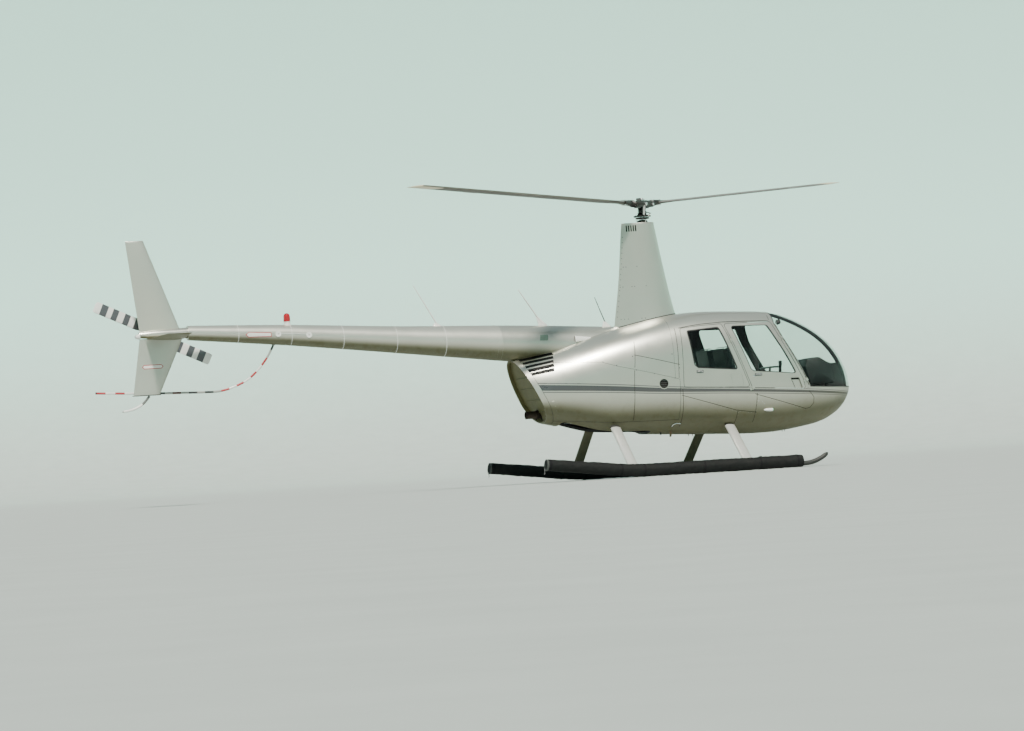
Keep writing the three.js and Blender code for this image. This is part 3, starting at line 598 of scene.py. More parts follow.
class Surface:
    """A smooth surface of triangles with a normal at each point, for rays and nearest points, in millimetres."""

    def __init__(self, verts, quads):
        self.v = np.asarray(verts, float)
        q = np.asarray(quads)
        self.t = np.concatenate([q[:, [0, 1, 2]], q[:, [0, 2, 3]]])
        p = self.v[self.t]
        fn = np.cross(p[:, 1] - p[:, 0], p[:, 2] - p[:, 0])
        self.n = np.zeros_like(self.v)
        for k in range(3):
            np.add.at(self.n, self.t[:, k], fn)
        self.n /= np.maximum(np.linalg.norm(self.n, axis=1), 1e-9)[:, None]
        self.tree = BVHTree.FromPolygons(self.v.tolist(), self.t.tolist())

    def normals_at(self, points, reach):
        idx, loc = np.full(len(points), -1), np.zeros((len(points), 3))
        for i, p in enumerate(points.tolist()):
            hit = self.tree.find_nearest(p, reach)
            if hit[0] is not None:
                idx[i], loc[i] = hit[2], hit[0]
        t = self.t[np.maximum(idx, 0)]
        a, b, c = self.v[t[:, 0]], self.v[t[:, 1]], self.v[t[:, 2]]
        area = lambda p, q, r: np.linalg.norm(np.cross(q - p, r - p), axis=1)
        w = np.stack([area(loc, b, c), area(a, loc, c), area(a, b, loc)], 1)
        w /= np.maximum(w.sum(1), 1e-9)[:, None]
        n = np.einsum("ij,ijk->ik", w, self.n[t])
        n /= np.maximum(np.linalg.norm(n, axis=1), 1e-9)[:, None]
        return idx >= 0, n

    def ray(self, origin, direction):
        """(point, normal) where the ray first meets the surface, the normal turned against the ray."""
        d = np.array(direction, float)
        d /= np.linalg.norm(d)
        hit = self.tree.ray_cast(Vector(origin), Vector(d))
        if hit[0] is None:
            return None
        _, n = self.normals_at(np.array([hit[0]]), 5.0)
        n = n[0] if n[0] @ d < 0 else -n[0]
        return np.array(hit[0]), n


# ------------------------------------------------------------------ the fuselage
# One row per section: a section lies in a plane through (xBottom, zBottom) and (xTop, zTop).
SECTIONS = np.array([
    # xBottom, zBottom, xTop, zTop, halfWidth, zWide, nUp, nLow
    [2424, 925, 2424, 925.1, 0.5, 925, 2.0, 2.0],
    [2420, 884, 2420, 960, 46, 925, 2.0, 2.0],
    [2398, 822, 2398, 1090, 172, 930, 2.0, 2.0],
    [2336, 714, 2336, 1250, 295, 940, 2.1, 2.0],
    [2216, 608, 2216, 1424, 402, 950, 2.3, 2.1],
    [2046, 528, 2046, 1576, 490, 960, 2.5, 2.2],
    [1800, 477, 1800, 1720, 562, 970, 2.8, 2.3],
    [1500, 440, 1500, 1832, 609, 980, 3.1, 2.4],
    [1150, 433, 1150, 1870, 634, 1000, 3.4, 2.5],
    [750, 450, 750, 1888, 640, 1000, 3.6, 2.5],
    [350, 468, 350, 1884, 640, 1020, 3.6, 2.5],
    [0, 488, 0, 1836, 635, 1030, 3.5, 2.5],
    [-400, 506, -400, 1752, 616, 1040, 3.3, 2.5],
    [-760, 532, -840, 1655, 572, 1020, 2.9, 2.4],
    [-1040, 600, -1220, 1556, 510, 1000, 2.5, 2.25],
    [-1240, 652, -1500, 1492, 455, 975, 2.2, 2.1],
    [-1391, 688, -1745, 1440, 400, 950, 2.0, 2.0],
], float)
WALL = 28


def spline(x, y, q):
    """A curve through the rows of y at the stations x, smooth to the second derivative, read at q."""
    h = np.diff(x)
    n = len(x)
    a = np.zeros((n, n))
    b = np.zeros((n, y.shape[1]))
    a[0, 0] = a[-1, -1] = 1
    d = np.diff(y, axis=0) / h[:, None]
    for i in range(1, n - 1):
        a[i, i - 1], a[i, i], a[i, i + 1] = h[i - 1], 2 * (h[i - 1] + h[i]), h[i]
        b[i] = 6 * (d[i] - d[i - 1])
    m = np.linalg.solve(a, b)
    i = np.clip(np.searchsorted(x, q) - 1, 0, n - 2)
    t, hh = (q - x[i])[:, None], h[i][:, None]
    return y[i] + t * (d[i] - hh * (2 * m[i] + m[i + 1]) / 6) + t**2 * m[i] / 2 + t**3 * (m[i + 1] - m[i]) / (6 * hh)


def section_points(rows, around, start=0.0):
    """Points round each section, evenly spaced within each quarter."""
    xb, zb, xt, zt, hw, zw, nu, nl = [rows[:, i][:, None] for i in range(8)]
    per = around // 4
    s = np.linspace(0, 1, 500)
    s = s**2.2 / (s**2.2 + (1 - s) ** 2.2)
    out = []
    for k in range(4):
        a = (k + s) * np.pi / 2
        c, si = np.cos(a)[None], np.sin(a)[None]
        c, si = np.where(np.abs(c) < 1e-12, 0, c), np.where(np.abs(si) < 1e-12, 0, si)
        n = nu if k < 2 else nl
        y = hw * np.sign(c) * np.abs(c) ** (2 / n)
        z = zw + (zt - zw if k < 2 else zw - zb) * np.sign(si) * np.abs(si) ** (2 / n)
        x = xb + (xt - xb) * (z - zb) / np.maximum(zt - zb, 1e-6)
        p = np.stack([x + 0 * y, y, z + 0 * y], -1)
        length = np.concatenate([np.zeros((len(rows), 1)), np.cumsum(np.linalg.norm(np.diff(p, axis=1), axis=2), 1)], 1)
        length /= np.maximum(length[:, -1:], 1e-9)
        want = np.arange(per) / per
        ring = np.empty((len(rows), per, 3))
        for r in range(len(rows)):
            for j in range(3):
                ring[r, :, j] = np.interp(want, length[r], p[r, :, j])
        out.append(ring)
    return np.concatenate(out, 1)


def body_rings(count, around):
    c = SECTIONS[:, [0, 1, 2, 3, 4]]
    step = np.sqrt((np.diff(c, axis=0) ** 2).sum(1))
    at = np.concatenate([[0], np.cumsum(step)])
    q = np.linspace(0, at[-1], count)
    q[0] = at[-1] * 0.0005
    rows = spline(at, SECTIONS, q)
    rows[:, 6:] = np.maximum(rows[:, 6:], 1.9)
    return section_points(rows, around)


AROUND = 200
RINGS = body_rings(230, AROUND)


def ring_normals(rings):
    du = np.gradient(rings, axis=0)
    dv = np.roll(rings, -1, 1) - np.roll(rings, 1, 1)
    n = np.cross(du, dv)
    n /= np.maximum(np.linalg.norm(n, axis=2), 1e-9)[:, :, None]
    away = rings - rings.mean(1, keepdims=True)
    return np.where((n * away).sum(2, keepdims=True) < 0, -n, n)


NORMALS = ring_normals(RINGS)
n_u, n_a = RINGS.shape[:2]
gi, gj = np.meshgrid(np.arange(n_u - 1), np.arange(n_a), indexing="ij")
QUADS = np.stack([gi * n_a + gj, gi * n_a + (gj + 1) % n_a, (gi + 1) * n_a + (gj + 1) % n_a, (gi + 1) * n_a + gj], -1).reshape(-1, 4)
SKIN = Surface(RINGS.reshape(-1, 3), QUADS)


def offset(d, k=0, step=(1, 1), longer=0.0):
    """The fuselage as a closed solid with its surface moved inwards by d; longer pushes its rear end out."""
    r = (RINGS - d * NORMALS)[:: step[0], :: step[1]]
    if (n_u - 1) % step[0]:
        r = np.concatenate([r, (RINGS - d * NORMALS)[-1:, :: step[1]]])
    if longer:
        r = np.concatenate([r, r[-1:] + np.array([-longer, 0, longer * -0.05])])
    return rings_mesh(r, k)


outer = offset(0)
inner = offset(WALL, 1, (2, 2), 40)

# Side-view outlines, (x, z).
WINDSHIELD = [[1420, 2100], [1370, 1708], [1446, 1522], [1605, 1241], [1680, 1101], [1754, 938], [2000, 926], [2600, 905], [2700, 2100]]
FRONT_DOOR = [[716, 1728], [1326, 1726], [1411, 1523], [1572, 1219], [1663, 1040], [1692, 917], [1002, 957]]
REAR_DOOR = [[176, 1698], [440, 1720], [700, 1728], [982, 969], [154, 1005]]
FRONT_WINDOW = [[800, 1694], [1270, 1685], [1364, 1503], [1450, 1352], [1556, 1148], [1572, 1110], [1520, 1106], [1338, 1125], [1030, 1155], [998, 1180]]
REAR_WINDOW = [[254, 1664], [652, 1690], [838, 1182], [347, 1225], [303, 1260]]
COWL = [[112, 1106], [-188, 1188], [-441, 1252], [-639, 1299], [-795, 1352], [-1284, 1382], [-1900, 1382], [-1900, 745], [-1200, 700], [-700, 650], [110, 640]]
REAR_FACE = [[-1250, 400], [-1325, 700], [-1680, 1440], [-1640, 1700], [-2300, 1700], [-2300, 400]]
CABIN_TOP = [[60, 1090], [60, 1012], [154, 1005], [982, 969], [1002, 957], [1692, 917], [1754, 930], [2600, 895], [2600, 2200], [60, 2200]]
AFT_TOP = [[60, 1050], [60, 2200], [-2300, 2200], [-2300, 1000], [-1300, 1000]]
BELLY_OUTLET = [[-1230, -260], [-1230, 260], [-150, 300], [-150, -300]]
FRONT_DOOR_R, REAR_DOOR_R = rounded(FRONT_DOOR, [40, 30, 60, 60, 20, 26, 40]), rounded(REAR_DOOR, [40, 60, 30, 34, 40])
FRONT_WINDOW_R = rounded(FRONT_WINDOW, [34, 30, 60, 60, 30, 14, 60, 60, 20, 26], 6)
REAR_WINDOW_R = rounded(REAR_WINDOW, [26, 34, 26, 20, 40], 6)
HUGE = 1500


def whole(outline, d=0.0, k=2):
    return prism_y(grow(outline, d), -HUGE, HUGE, k)


def side(outline, s, d=0.0, k=2):
    o = grow(outline, d) if d else outline
    return prism_y(o, 30, HUGE, k) if s > 0 else prism_y(o, -HUGE, -30, k)


def on_side(x, z, s):
    """(point, outward normal) on the skin where a sideways line at (x, z) meets it."""
    return SKIN.ray((x, s * 3000, z), (0, -s, 0))


def on_belly(x, y):
    return SKIN.ray((x, y, -500), (0, 0, 1))


def on_top(x, y):
    return SKIN.ray((x, y, 3500), (0, 0, -1))


LAYERS = {}


def layer(a, b, x0, x1, k=0):
    """The zone between the skin moved inwards by a and by b, only near the stations x0 to x1, made once for each."""
    i = np.where((RINGS[:, :, 0].max(1) > x0 - 15) & (RINGS[:, :, 0].min(1) < x1 + 15))[0]
    i0, i1 = max(int(i[0]) - 2, 0), min(int(i[-1]) + 3, n_u)
    i0, i1 = i0 // 8 * 8, min((i1 + 7) // 8 * 8, n_u)
    key = (a, b, i0, i1, k)
    if key not in LAYERS:
        ra, rb = RINGS - a * NORMALS, RINGS - b * NORMALS
        far = rb[max(i0 - 1, 0) : min(i1 + 1, n_u)]
        if i1 == n_u:
            far = np.concatenate([far, far[-1:] + np.array([-40.0, 0, -2.0])])
        LAYERS[key] = boolean(rings_mesh(ra[i0:i1], k), rings_mesh(far, k))
    return LAYERS[key]


def patch(a, b, outline, s, d=0.0, k=2):
    """The part of a layer inside a side-view outline, on one side."""
    o = grow(outline, d) if d else outline
    xs = [p[0] for p in o]
    return both(layer(a, b, min(xs), max(xs)), side(o, s, 0.0, k))


def patch_ring(a, b, outline, s, d_out, d_in, k=0):
    """The part of a layer in a band along a side-view outline, from d_in to d_out outside it."""
    xs = [p[0] for p in grow(outline, d_out)]
    return both(layer(a, b, min(xs), max(xs)), boolean(side(outline, s, d_out, k=k), side(outline, s, d_in, k=k)))


SIDES = (("left", 1), ("right", -1))
shell = boolean(outer, inner)
thick = boolean(offset(-5, 0, (3, 4)), offset(WALL + 5, 1, (3, 4)))
pieces = {}
for side_name, s in SIDES:
    for which, outline, window in (("front", FRONT_DOOR_R, FRONT_WINDOW_R), ("rear", REAR_DOOR_R, REAR_WINDOW_R)):
        pieces[f"{which}_door_{side_name}"] = cut(both(shell, side(outline, s, -5.0)), side(window, s))
        pane = boolean(offset(2.0, 0), offset(6.5, 0))
        pieces[f"{which}_window_{side_name}"] = both(pane, side(window, s, -0.3))

BOW_HALF = 19
pane = boolean(offset(0.5, 0), offset(6.0, 0))
for side_name, s in SIDES:
    half = slab(1200, 2700, *sorted((s * (BOW_HALF + 1), s * HUGE)), 0, 2600)
    pieces[f"windshield_{side_name}"] = both(pane, whole(WINDSHIELD, -1.0), half)
bow = both(shell, whole(WINDSHIELD, 2.0), slab(1200, 2700, -BOW_HALF, BOW_HALF, 0, 2600))
for s in (1, -1):
    for outline in (FRONT_DOOR_R, REAR_DOOR_R):
        shell = boolean(shell, side(outline, s))

# The jambs are relieved along the path of each door as it swings about its two hinges.
HINGES = [
    # door, door outline, lower hinge, upper hinge: x, distance from the middle, z
    ("front", FRONT_DOOR_R, (1697, 592, 1014), (1420, 579, 1523)),
    ("rear", REAR_DOOR_R, (999, 647, 954), (770, 622, 1522)),
]
for s in (1, -1):
    for which, outline, low, high in HINGES:
        door = both(thick, side(outline, s, -2.0))
        a, b = Vector((low[0], s * low[1], low[2])), Vector((high[0], s * high[1], high[2]))
        for angle in (2, 5, 9, 14, 20, 27, 35, 45):
            moved = door.copy()
            moved.transform(Matrix.Translation(a) @ Matrix.Rotation(math.radians(-s * angle), 4, (b - a).normalized()) @ Matrix.Translation(-a))
            shell = boolean(shell, moved)
shell = boolean(boolean(shell, whole(WINDSHIELD, 1.0)), bow, "UNION")

SEAM = 1.7  # half the width of a fixed joint between panels
for side_name, s in SIDES:
    pieces[f"engine_cowl_{side_name}"] = cut(both(shell, side(COWL, s, -SEAM)), whole(REAR_FACE, SEAM))
for s in (1, -1):
    shell = boolean(shell, side(COWL, s, SEAM))
rear_skin = both(boolean(offset(0), offset(4, 1)), whole(REAR_FACE, -SEAM))
shell = boolean(shell, whole(REAR_FACE, SEAM))
pieces["cabin_top"] = both(shell, whole(CABIN_TOP, -1.0))
pieces["aft_deck"] = both(shell, whole(AFT_TOP, -1.4))
pieces["belly_hull"] = cut(shell, whole(CABIN_TOP, 1.0), whole(AFT_TOP, 1.4), prism_z(rounded(BELLY_OUTLET, 60), 300, 720))

# ------------------------------------------------------------------ small shapes


def merged(list_of_meshes):
    """Several mesh data in one, with their material indices kept."""
    v, f, k, n = [], [], [], 0
    for me in list_of_meshes:
        co = np.zeros(len(me.vertices) * 3)
        me.vertices.foreach_get("co", co)
        v.append(co.reshape(-1, 3))
        for p in me.polygons:
            f.append([i + n for i in p.vertices])
            k.append(p.material_index)
        n += len(me.vertices)
    me = bpy.data.meshes.new("merged")
    me.from_pydata(np.concatenate(v).tolist(), [], f)
    for b in BLANKS:
        me.materials.append(b)
    me.polygons.foreach_set("material_index", np.array(k, np.int32))
    return me


def axes(direction, hint=(0, 0, 1)):
    """Two unit vectors at right angles to direction."""
    d = np.array(direction, float)
    d /= np.linalg.norm(d)
    h = np.array(hint, float)
    if abs(h @ d) > 0.95:
        h = np.array([1.0, 0, 0]) if abs(d[0]) < 0.9 else np.array([0, 1.0, 0])
    u = np.cross(h, d)
    u /= np.linalg.norm(u)
    return d, u, np.cross(d, u)


def turned(centre, direction, profile, sides=16, k=0, hint=(0, 0, 1), squash=1.0):
    """A turned piece: profile is rows (distance along direction, radius)."""
    d, u, v = axes(direction, hint)
    a = np.linspace(0, 2 * np.pi, sides, endpoint=False)
    ring = np.outer(np.cos(a), u) + np.outer(np.sin(a), v) * squash
    c = np.array(centre, float)
    return rings_mesh([c + t * d + max(r, 0.05) * ring for t, r in profile], k)


def rod(a, b, r0, r1=None, sides=12, k=0, bevel=0.0):
    a, b = np.array(a, float), np.array(b, float)
    n = np.linalg.norm(b - a)
    r1 = r0 if r1 is None else r1
    e = min(bevel, n / 3, r0 * 0.9)
    prof = [(0, r0 - e), (e, r0), (n - e, r1), (n, r1 - min(e, r1 * 0.9))] if e else [(0, r0), (n, r1)]
    return turned(a, b - a, prof, sides, k)


def block(centre, size, rot=None, bevel=3.0, k=0):
    """A box with bevelled edges, about its centre, turned by a 3x3 matrix."""
    x, y, z = [v / 2 for v in size]
    e = min(bevel, x * 0.6, y * 0.6, z * 0.6)
    rings = []
    for zz, ins in ((-z, e), (-z + e, 0), (z - e, 0), (z, e)):
        rings.append([
            (-x + e + ins * 0.7, -y + ins, zz), (x - e - ins * 0.7, -y + ins, zz), (x - ins, -y + e + ins * 0.7, zz), (x - ins, y - e - ins * 0.7, zz),
            (x - e - ins * 0.7, y - ins, zz), (-x + e + ins * 0.7, y - ins, zz), (-x + ins, y - e - ins * 0.7, zz), (-x + ins, -y + e + ins * 0.7, zz),
        ])
    r = np.array(rings, float)
    if rot is not None:
        r = r @ np.array(rot, float).T
    return rings_mesh(r + np.array(centre, float), k)


def smooth_path(points, count):
    """A smooth curve through the points, evenly sampled."""
    p = np.array(points, float)
    at = np.concatenate([[0], np.cumsum(np.linalg.norm(np.diff(p, axis=0), axis=1))])
    dense = spline(at, p, np.linspace(0, at[-1], 600))
    run = np.concatenate([[0], np.cumsum(np.linalg.norm(np.diff(dense, axis=0), axis=1))])
    q = np.linspace(0, run[-1], count)
    return np.stack([np.interp(q, run, dense[:, i]) for i in range(3)], 1)


def along(path, radius, sides=12, k=0, hint=(0, 1, 0), shape=None, raw_rings=False):
    """A tube along a path; radius is a number or one for each point; shape is a section of (u, v) points in radii."""
    p = np.array(path, float)
    t = np.gradient(p, axis=0)
    t /= np.linalg.norm(t, axis=1)[:, None]
    _, u, _ = axes(t[0], hint)
    rad = np.full(len(p), radius) if not hasattr(radius, "__len__") else np.array(radius)
    a = np.linspace(0, 2 * np.pi, sides, endpoint=False)
    sec = np.array(shape, float) if shape is not None else np.stack([np.cos(a), np.sin(a)], 1)
    rings = []
    for i in range(len(p)):
        u = u - (u @ t[i]) * t[i]
        u /= np.linalg.norm(u)
        v = np.cross(t[i], u)
        rings.append(p[i] + rad[i] * (np.outer(sec[:, 0], u) + np.outer(sec[:, 1], v)))
    return np.array(rings) if raw_rings else rings_mesh(rings, k)


def domes(spots, r, h, k=0, sides=8):
    """Many small round heads in one mesh; spots are rows of (point, normal)."""
    v, f = [], []
    for c, n in spots:
        d, u, w = axes(n)
        b = len(v)
        for rr, hh in ((1.0, -0.6), (1.0, 0.15), (0.72, 0.8)):
            for i in range(sides):
                a = 2 * math.pi * i / sides
                v.append(tuple(np.array(c) + rr * r * (math.cos(a) * u + math.sin(a) * w) + hh * h * d))
        v.append(tuple(np.array(c) + h * d))
        for q in range(2):
            for i in range(sides):
                j = (i + 1) % sides
                f.append([b + q * sides + i, b + q * sides + j, b + (q + 1) * sides + j, b + (q + 1) * sides + i])
        f += [[b + 2 * sides + i, b + 2 * sides + (i + 1) % sides, b + 3 * sides] for i in range(sides)]
        f.append([b + i for i in range(sides)][::-1])
    me = bpy.data.meshes.new("domes")
    me.from_pydata(v, [], f)
    for m in BLANKS:
        me.materials.append(m)
    me.polygons.foreach_set("material_index", np.full(len(f), k, np.int32))
    return me


def spaced(path, gap, skip_ends=0.0):
    """Points along an open path of 2-D points, gap apart."""
    p = np.array(path, float)
    run = np.concatenate([[0], np.cumsum(np.linalg.norm(np.diff(p, axis=0), axis=1))])
    n = max(2, int(round((run[-1] - 2 * skip_ends) / gap)) + 1)
    q = np.linspace(skip_ends, run[-1] - skip_ends, n)
    return [(float(np.interp(t, run, p[:, 0])), float(np.interp(t, run, p[:, 1]))) for t in q]


# ------------------------------------------------------------------ panels, seams and trim on the skin
def seam(names, path, s, width=6.2):
    xs = [p[0] for p in path]
    line = both(layer(-4, 2.6, min(xs), max(xs), 3), side(ribbon(path, width), s, k=3))
    for n in names:
        pieces[n] = boolean(pieces[n], line)


# seams in the skin: pieces, path of (x, z)
SEAMS = [
    (("aft_deck", "cabin_top"), [(-416, 1416), (-150, 1348), (124, 1275)]),
    (("aft_deck",), [(-389, 1572), (-404, 1420), (-422, 1268)]),
    (("engine_cowl",), [(-428, 1236), (-440, 1050), (-446, 800), (-440, 660)]),
    (("cabin_top", "aft_deck"), [(118, 1700), (112, 1400), (104, 1120)]),
    (("belly_hull",), [(126, 918), (460, 816), (803, 711), (1063, 673)]),
    (("belly_hull",), [(1036, 885), (1380, 780), (1700, 682), (1760, 694), (1800, 744), (1800, 812), (1736, 886)]),
    (("belly_hull",), [(826, 700), (815, 560)]),
    (("belly_hull",), [(1060, 896), (1049, 700), (1040, 560)]),
    (("belly_hull",), [(140, 990), (148, 700), (150, 560)]),
    (("cabin_top",), [(1330, 1800), (1322, 1745)]),
]
for names, path in SEAMS:
    for side_name, s in SIDES:
        seam([n + "_" + side_name if n == "engine_cowl" else n for n in names], path, s)
# the faint rounded panel on each rear door
for side_name, s in SIDES:
    panel = rounded([[737, 1137], [880, 1132], [899, 994], [765, 999]], 22)
    n = f"rear_door_{side_name}"
    pieces[n] = boolean(pieces[n], patch_ring(-4, 2.6, panel, s, 0.0, -3.0, 3))

# the louvres over the engine bay: right and left end of each slot's centre line
LOUVRES = [[(-1290, 1490), (-1668, 1428)], [(-1306, 1446), (-1652, 1390)], [(-1318, 1400), (-1637, 1347)], [(-1326, 1352), (-1620, 1303)], [(-1334, 1302), (-1604, 1259)]]
for side_name, s in SIDES:
    for (ax, az), (bx, bz) in LOUVRES:
        more = 0 if az > 1380 else 5
        slot_shape = [(ax, az + 15 + more), (bx, bz + 12 + more), (bx + 7, bz - 12 - more), (ax - 3, az - 15 - more)]
        # the slots' walls are black: painted shade inside them
        for n in ("aft_deck", f"engine_cowl_{side_name}"):
            pieces[n] = boolean(pieces[n], side(slot_shape, s, k=4))
# the round cooling inlet on each cowl
INLET = (-86, 1064)
disc = [(INLET[0] + 55 * math.cos(t), INLET[1] + 55 * math.sin(t)) for t in np.linspace(0, 2 * np.pi, 40, endpoint=False)]
for side_name, s in SIDES:
    # the hole's walls are black: painted shade inside it
    pieces[f"engine_cowl_{side_name}"] = boolean(pieces[f"engine_cowl_{side_name}"], side(disc, s, k=4))
# the recessed vent low on each front door
VENT = rounded([[1491, 1055], [1609, 1052], [1653, 918], [1547, 920]], 12)
for side_name, s in SIDES:
    n = f"front_door_{side_name}"
    pieces[n] = boolean(pieces[n], both(layer(-5, 15, 1480, 1660, 0), side(VENT, s, k=0)))
    # a dark groove round the inside edge of the vent: painted shade in its corners
    pieces[n] = boolean(pieces[n], patch_ring(-4, 19, VENT, s, 0.0, -7.0, 3))
    # black strips along the top and the rear edge of the vent: a painted shadow under its top lip and a painted shade
    # line along its rear edge
    for shadow_strip in ([(1496, 1052), (1606, 1049), (1613, 1026), (1506, 1028)], [(1496, 1052), (1508, 1052), (1561, 924), (1549, 924)]):
        pieces[n] = boolean(pieces[n], both(layer(-5, 21, 1480, 1660, 4), side(shadow_strip, s, k=4)))

PANEL_MATS = ["skin", "lining", "seal", "seam", "bay"]
for name, me in pieces.items():
    body = "airframe"
    if "door" in name or ("window" in name and "shield" not in name):
        body = name.replace("window", "door") + "_body"
    glazed = "window" in name or "windshield" in name
    put(("pane_" if glazed else "panel_") + name, cleaned(me), ["glass"] if glazed else PANEL_MATS, body, [name], like=SKIN)

# window surrounds, drip rails and the frame round the windshield
WINDSHIELD_EDGE = [[1384, 1742], [1376, 1700], [1446, 1522], [1605, 1241], [1680, 1101], [1746, 941], [2000, 928], [2460, 910]]
RAIL = [(168, 1709), (300, 1727), (438, 1741), (717, 1754), (1012, 1750), (1180, 1746), (1305, 1739)]
for side_name, s in SIDES:
    door_f, door_r = f"front_door_{side_name}_body", f"rear_door_{side_name}_body"
    for which, outline, body, w_out, w_in, mat in (("front", FRONT_WINDOW_R, door_f, 3.0, 5.0, "seal"), ("rear", REAR_WINDOW_R, door_r, 4.0, 9.0, "seal")):
        put(f"{which}_window_seal_{side_name}", cleaned(patch_ring(-1.4, 7.5, outline, s, w_out, -w_in)), mat, body, like=SKIN)
        put(f"{which}_window_retainer_{side_name}", cleaned(patch_ring(WALL - 2, WALL + 4, outline, s, 16, -3.0)), "lining", body)
    rail = patch(-6.0, 2.0, ribbon(RAIL, 9.0), s, k=0)
    put(f"drip_rail_{side_name}", cleaned(rail), "silver", like=SKIN)
    under = patch(-1.2, 2.0, ribbon([(x, z - 8.5) for x, z in RAIL], 6.5), s, k=0)
    put(f"drip_rail_seal_{side_name}", cleaned(under), "seal", like=SKIN)
    # the windshield's bedding: a dark line along its rear and lower edge and along the bow
    edge = cut(whole(WINDSHIELD, 3.0, 0), whole(WINDSHIELD, -7.0, 0))
    half = slab(1200, 2700, *sorted((s * BOW_HALF, s * HUGE)), 0, 2600, 0)
    put(f"windshield_bedding_{side_name}", cleaned(both(layer(-1.2, 6.5, 1300, 2500), edge, half)), "seal", like=SKIN)
    by_bow = slab(1200, 2700, *sorted((s * (BOW_HALF + 9), s * (BOW_HALF + 24))), 0, 2600, 0)
    put(f"windshield_bow_line_{side_name}", cleaned(both(layer(-0.8, 7.5, 1300, 2500), whole(WINDSHIELD, -3.0, 0), by_bow)), "seal", like=SKIN)
    post = patch(-2.2, 1.0, [[1354, 1716], [1382, 1706], [1447, 1528], [1607, 1243], [1682, 1103], [1750, 946], [1716, 938], [1671, 1060], [1594, 1219], [1432, 1523], [1362, 1690]], s, k=0)
    put(f"windshield_post_{side_name}", cleaned(post), "silver", like=SKIN)
    channel = patch(-2.7, -1.0, ribbon([(1374, 1700), (1440, 1532), (1597, 1240), (1676, 1096), (1736, 950)], 11.0), s, k=0)
    put(f"windshield_post_channel_{side_name}", cleaned(channel), "seam", like=SKIN)
bow_cover = both(layer(-4.0, 2.0, 1300, 2500), whole(WINDSHIELD, 1.5), slab(1200, 2700, -BOW_HALF - 9, BOW_HALF + 9, 0, 2600, 0))
put("windshield_bow_cover", cleaned(bow_cover), "silver", like=SKIN)
bow_inside = both(layer(7.0, 19.0, 1300, 2500), whole(WINDSHIELD, -3.0), slab(1200, 2700, -BOW_HALF - 16, BOW_HALF + 16, 0, 2600, 0))
put("windshield_bow_inside", cleaned(bow_inside), "seal")

# fasteners
HEADS = {"big": [], "small": [], "bright": []}
for s in (1, -1):
    for x, z in ((-786, 1354), (-634, 1305), (-407, 1240), (-196, 1186), (38, 1402), (116, 1236), (-436, 1400), (52, 1122)):
        HEADS["big"].append(on_side(x, z, s))
    for x, z in ((357, 1186), (763, 1534)):
        HEADS["small"].append(on_side(x, z, s))
    for x, z in spaced([(1374, 1700), (1440, 1532), (1597, 1240), (1676, 1096), (1736, 950)], 62):
        HEADS["bright"].append(on_side(x - 7, z - 3, s))
    rows = [
        (grow(COWL, -14)[:6], 52), ([(-1286, 1395), (-795, 1366), (-639, 1313), (-441, 1267), (-188, 1202), (100, 1124)], 78),
        ([(126, 1690), (122, 1400), (114, 1120)], 44), ([(106, 1690), (100, 1400), (92, 1120)], 44),
        ([(70, 1000), (500, 978), (960, 955), (1690, 902)], 58), ([(126, 905), (460, 803), (803, 698), (1063, 660)], 50),
        ([(1040, 872), (1380, 768), (1690, 672)], 50), ([(1815, 800), (1850, 880), (1985, 912), (2300, 902)], 46),
        ([(-400, 1560), (-416, 1420), (-434, 1275)], 46), ([(-378, 1560), (-392, 1420)], 46),
        ([(-1300, 760), (-1420, 1000), (-1560, 1250)], 60), ([(160, 1730), (440, 1762), (717, 1775), (1012, 1771), (1300, 1758)], 66),
        ([(1060, 860), (1050, 640)], 40), ([(838, 690), (828, 560)], 40),
    ]
    for path, gap in rows:
        for x, z in spaced(path, gap, 10):
            hit = on_side(x, z, s)
            if hit is not None:
                HEADS["small"].append(hit)
for path in ([(1360, -400), (1360, 400)], [(1180, -430), (1180, 430)], [(60, -480), (60, 480)], [(440, -450), (440, 450)]):
    for x, y in spaced(path, 60):
        hit = on_top(x, y)
        if hit is not None:
            HEADS["small"].append(hit)
for path in ([(120, -420), (120, 420)], [(820, -440), (820, 440)], [(1480, -400), (1480, 400)], [(130, -300), (1500, -300)], [(130, 300), (1500, 300)], [(-1180, -290), (-170, -330)], [(-1180, 290), (-170, 330)]):
    for x, y in spaced(path, 58):
        hit = on_belly(x, y)
        if hit is not None:
            HEADS["small"].append(hit)
put("panel_screws", domes(HEADS["big"], 7.5, 2.6), "steel")
put("panel_rivets", domes(HEADS["small"], 3.2, 1.1, sides=6), "silver")
put("post_screws", domes([h for h in HEADS["bright"]], 8.5, 7.0), "bright")

# the plain rear face: its outline and its plane, for the rear skin, rim and face below
cap_ring = (RINGS - 0.0 * NORMALS)[-1]
cap_mid = cap_ring.mean(0)
plane_u = np.array([0, 1.0, 0])
plane_v = cap_ring[AROUND // 4] - cap_ring[3 * AROUND // 4]
plane_v /= np.linalg.norm(plane_v)
plane_n = np.cross(plane_v, plane_u)
plane_n = plane_n if plane_n[0] < 0 else -plane_n


def cap_at(inset, back):
    """The rear face's outline moved in by inset and back along its normal."""
    rel = cap_ring - cap_mid
    reach = np.linalg.norm(rel, axis=1)[:, None]
    return cap_mid + rel * np.maximum(0.02, (reach - inset) / reach) + plane_n * back


def cap_faces(me, rings_count, around, end, k):
    """Gives one flat end of a mesh of rings its own material index."""
    first = (rings_count - 1) * around + (around if end else 0)
    for i in range(first, first + around):
        me.polygons[i].material_index = k
    return me


def skin_frame(x, z, s):
    """A point on the side skin with a 3x3 matrix whose columns run forward, up and outward along the skin."""
    p, n = on_side(x, z, s)
    t = np.array([1.0, 0, 0]) - n[0] * n
    t /= np.linalg.norm(t)
    u = np.cross(n, t)
    u = u if u[2] > 0 else -u
    return p, np.stack([t, u, n], 1)


